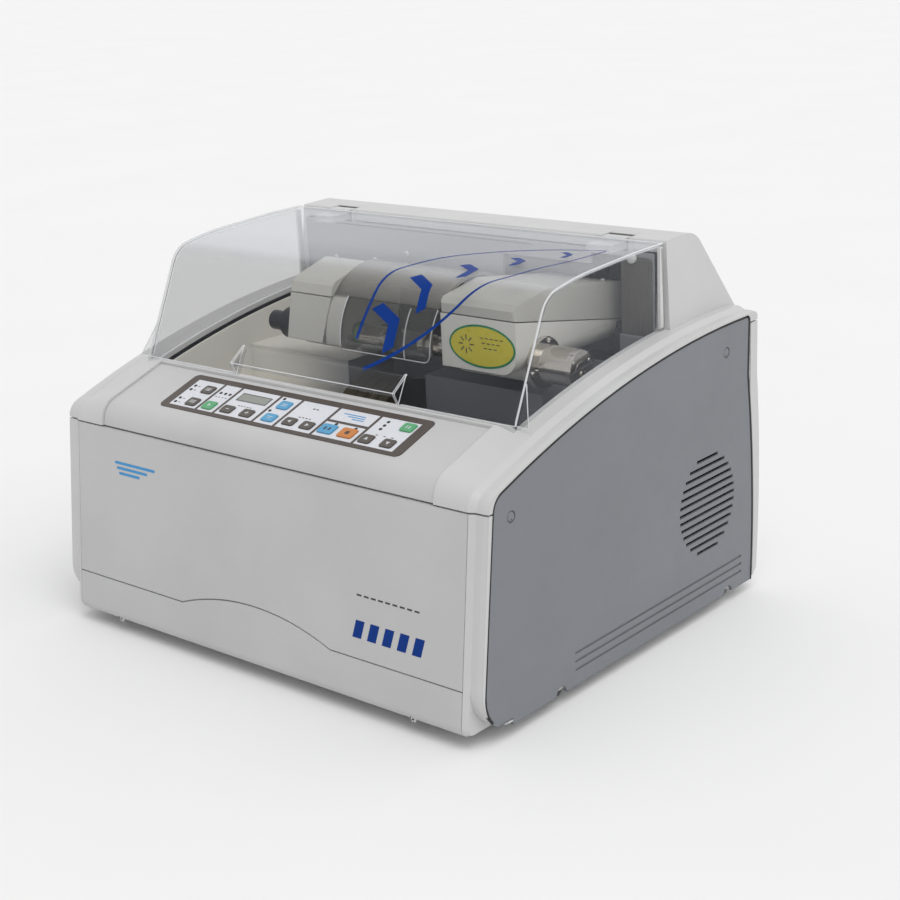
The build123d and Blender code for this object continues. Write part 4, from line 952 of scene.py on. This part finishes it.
# ------------------------------------------------------------------ floor, light and camera
FLOOR_SIZE = 60.0             # half the floor's width, in metres
BACKDROP = linear(243, 243, 243)
PAPER_LOW = (0.842, 0.842, 0.842, 1)
PAPER_HIGH = (0.852, 0.852, 0.852, 1)
floor_mesh = bpy.data.meshes.new("floor")
corners = [(x * FLOOR_SIZE, y * FLOOR_SIZE, 0) for x, y in ((-1, -1), (1, -1), (1, 1), (-1, 1))]
floor_mesh.from_pydata(corners, [], [(0, 1, 2, 3)])
floor = bpy.data.objects.new("floor", floor_mesh)
bpy.context.scene.collection.objects.link(floor)


def paper():
    # the floor matches the backdrop where it is lit, and keeps the shadow
    s = Shader("floor_paper")
    s.link(s.ramp(s.noise(3.0), PAPER_LOW, PAPER_HIGH), s.bsdf.inputs["Base Color"])
    s.set(Roughness=0.95, Specular_IOR_Level=0.05)
    return s.mat


floor_mesh.materials.append(paper())

AMBIENT = 0.80
ROOM_LEAN = (0.20, 0.20, 0.0)  # the room is brighter on the right and behind than in front
world = bpy.data.worlds.new("studio")
bpy.context.scene.world = world
world.use_nodes = True
wt = world.node_tree
background = wt.nodes["Background"]
path = wt.nodes.new("ShaderNodeLightPath")


def either(a, b):
    made = wt.nodes.new("ShaderNodeMath")
    made.operation = "MAXIMUM"
    wt.links.new(a, made.inputs[0])
    wt.links.new(b, made.inputs[1])
    return made.outputs[0]


seen = either(path.outputs["Is Camera Ray"], path.outputs["Is Transmission Ray"])
seen = either(seen, path.outputs["Is Glossy Ray"])
mix = wt.nodes.new("ShaderNodeMix")
mix.data_type = "RGBA"
room = wt.nodes.new("ShaderNodeTexCoord")
lean = wt.nodes.new("ShaderNodeVectorMath")
lean.operation = "DOT_PRODUCT"
lean.inputs[1].default_value = ROOM_LEAN
wt.links.new(room.outputs["Generated"], lean.inputs[0])
level = wt.nodes.new("ShaderNodeMath")
level.operation = "MULTIPLY_ADD"
level.inputs[1].default_value = AMBIENT
level.inputs[2].default_value = AMBIENT
wt.links.new(lean.outputs["Value"], level.inputs[0])
wt.links.new(level.outputs[0], mix.inputs["A"])
mix.inputs["B"].default_value = (*BACKDROP, 1)
wt.links.new(seen, mix.inputs["Factor"])
wt.links.new(mix.outputs["Result"], background.inputs["Color"])

SUN_AIM = Vector((-0.40, 0.25, -0.88))
sun_data = bpy.data.lights.new("key", "SUN")
sun_data.energy = 1.0
sun_data.angle = math.radians(40)
sun = bpy.data.objects.new("key", sun_data)
sun.rotation_euler = SUN_AIM.to_track_quat("-Z", "Y").to_euler()
bpy.context.scene.collection.objects.link(sun)

YAW = math.radians(40.776)
PITCH = math.radians(17.71)
ROLL = math.radians(-2.762)
LENS = 68.283
CAMERA_AT = at(1075.6, -1182.4, 667.8)
level_out = math.cos(PITCH)
forward = Vector((-math.sin(YAW) * level_out, math.cos(YAW) * level_out, -math.sin(PITCH)))
right = Vector((math.cos(YAW), math.sin(YAW), 0))
up = right.cross(forward)
cam_x = right * math.cos(ROLL) + up * math.sin(ROLL)
cam_y = up * math.cos(ROLL) - right * math.sin(ROLL)
camera_data = bpy.data.cameras.new("camera")
camera_data.sensor_width = 36.0
camera_data.lens = LENS
camera_data.clip_end = 200.0
camera = bpy.data.objects.new("camera", camera_data)
axes = Matrix((cam_x, cam_y, -forward)).transposed().to_4x4()
camera.matrix_world = Matrix.Translation(CAMERA_AT) @ axes
bpy.context.scene.collection.objects.link(camera)
bpy.context.scene.camera = camera
bpy.context.scene.view_settings.view_transform = "Standard"
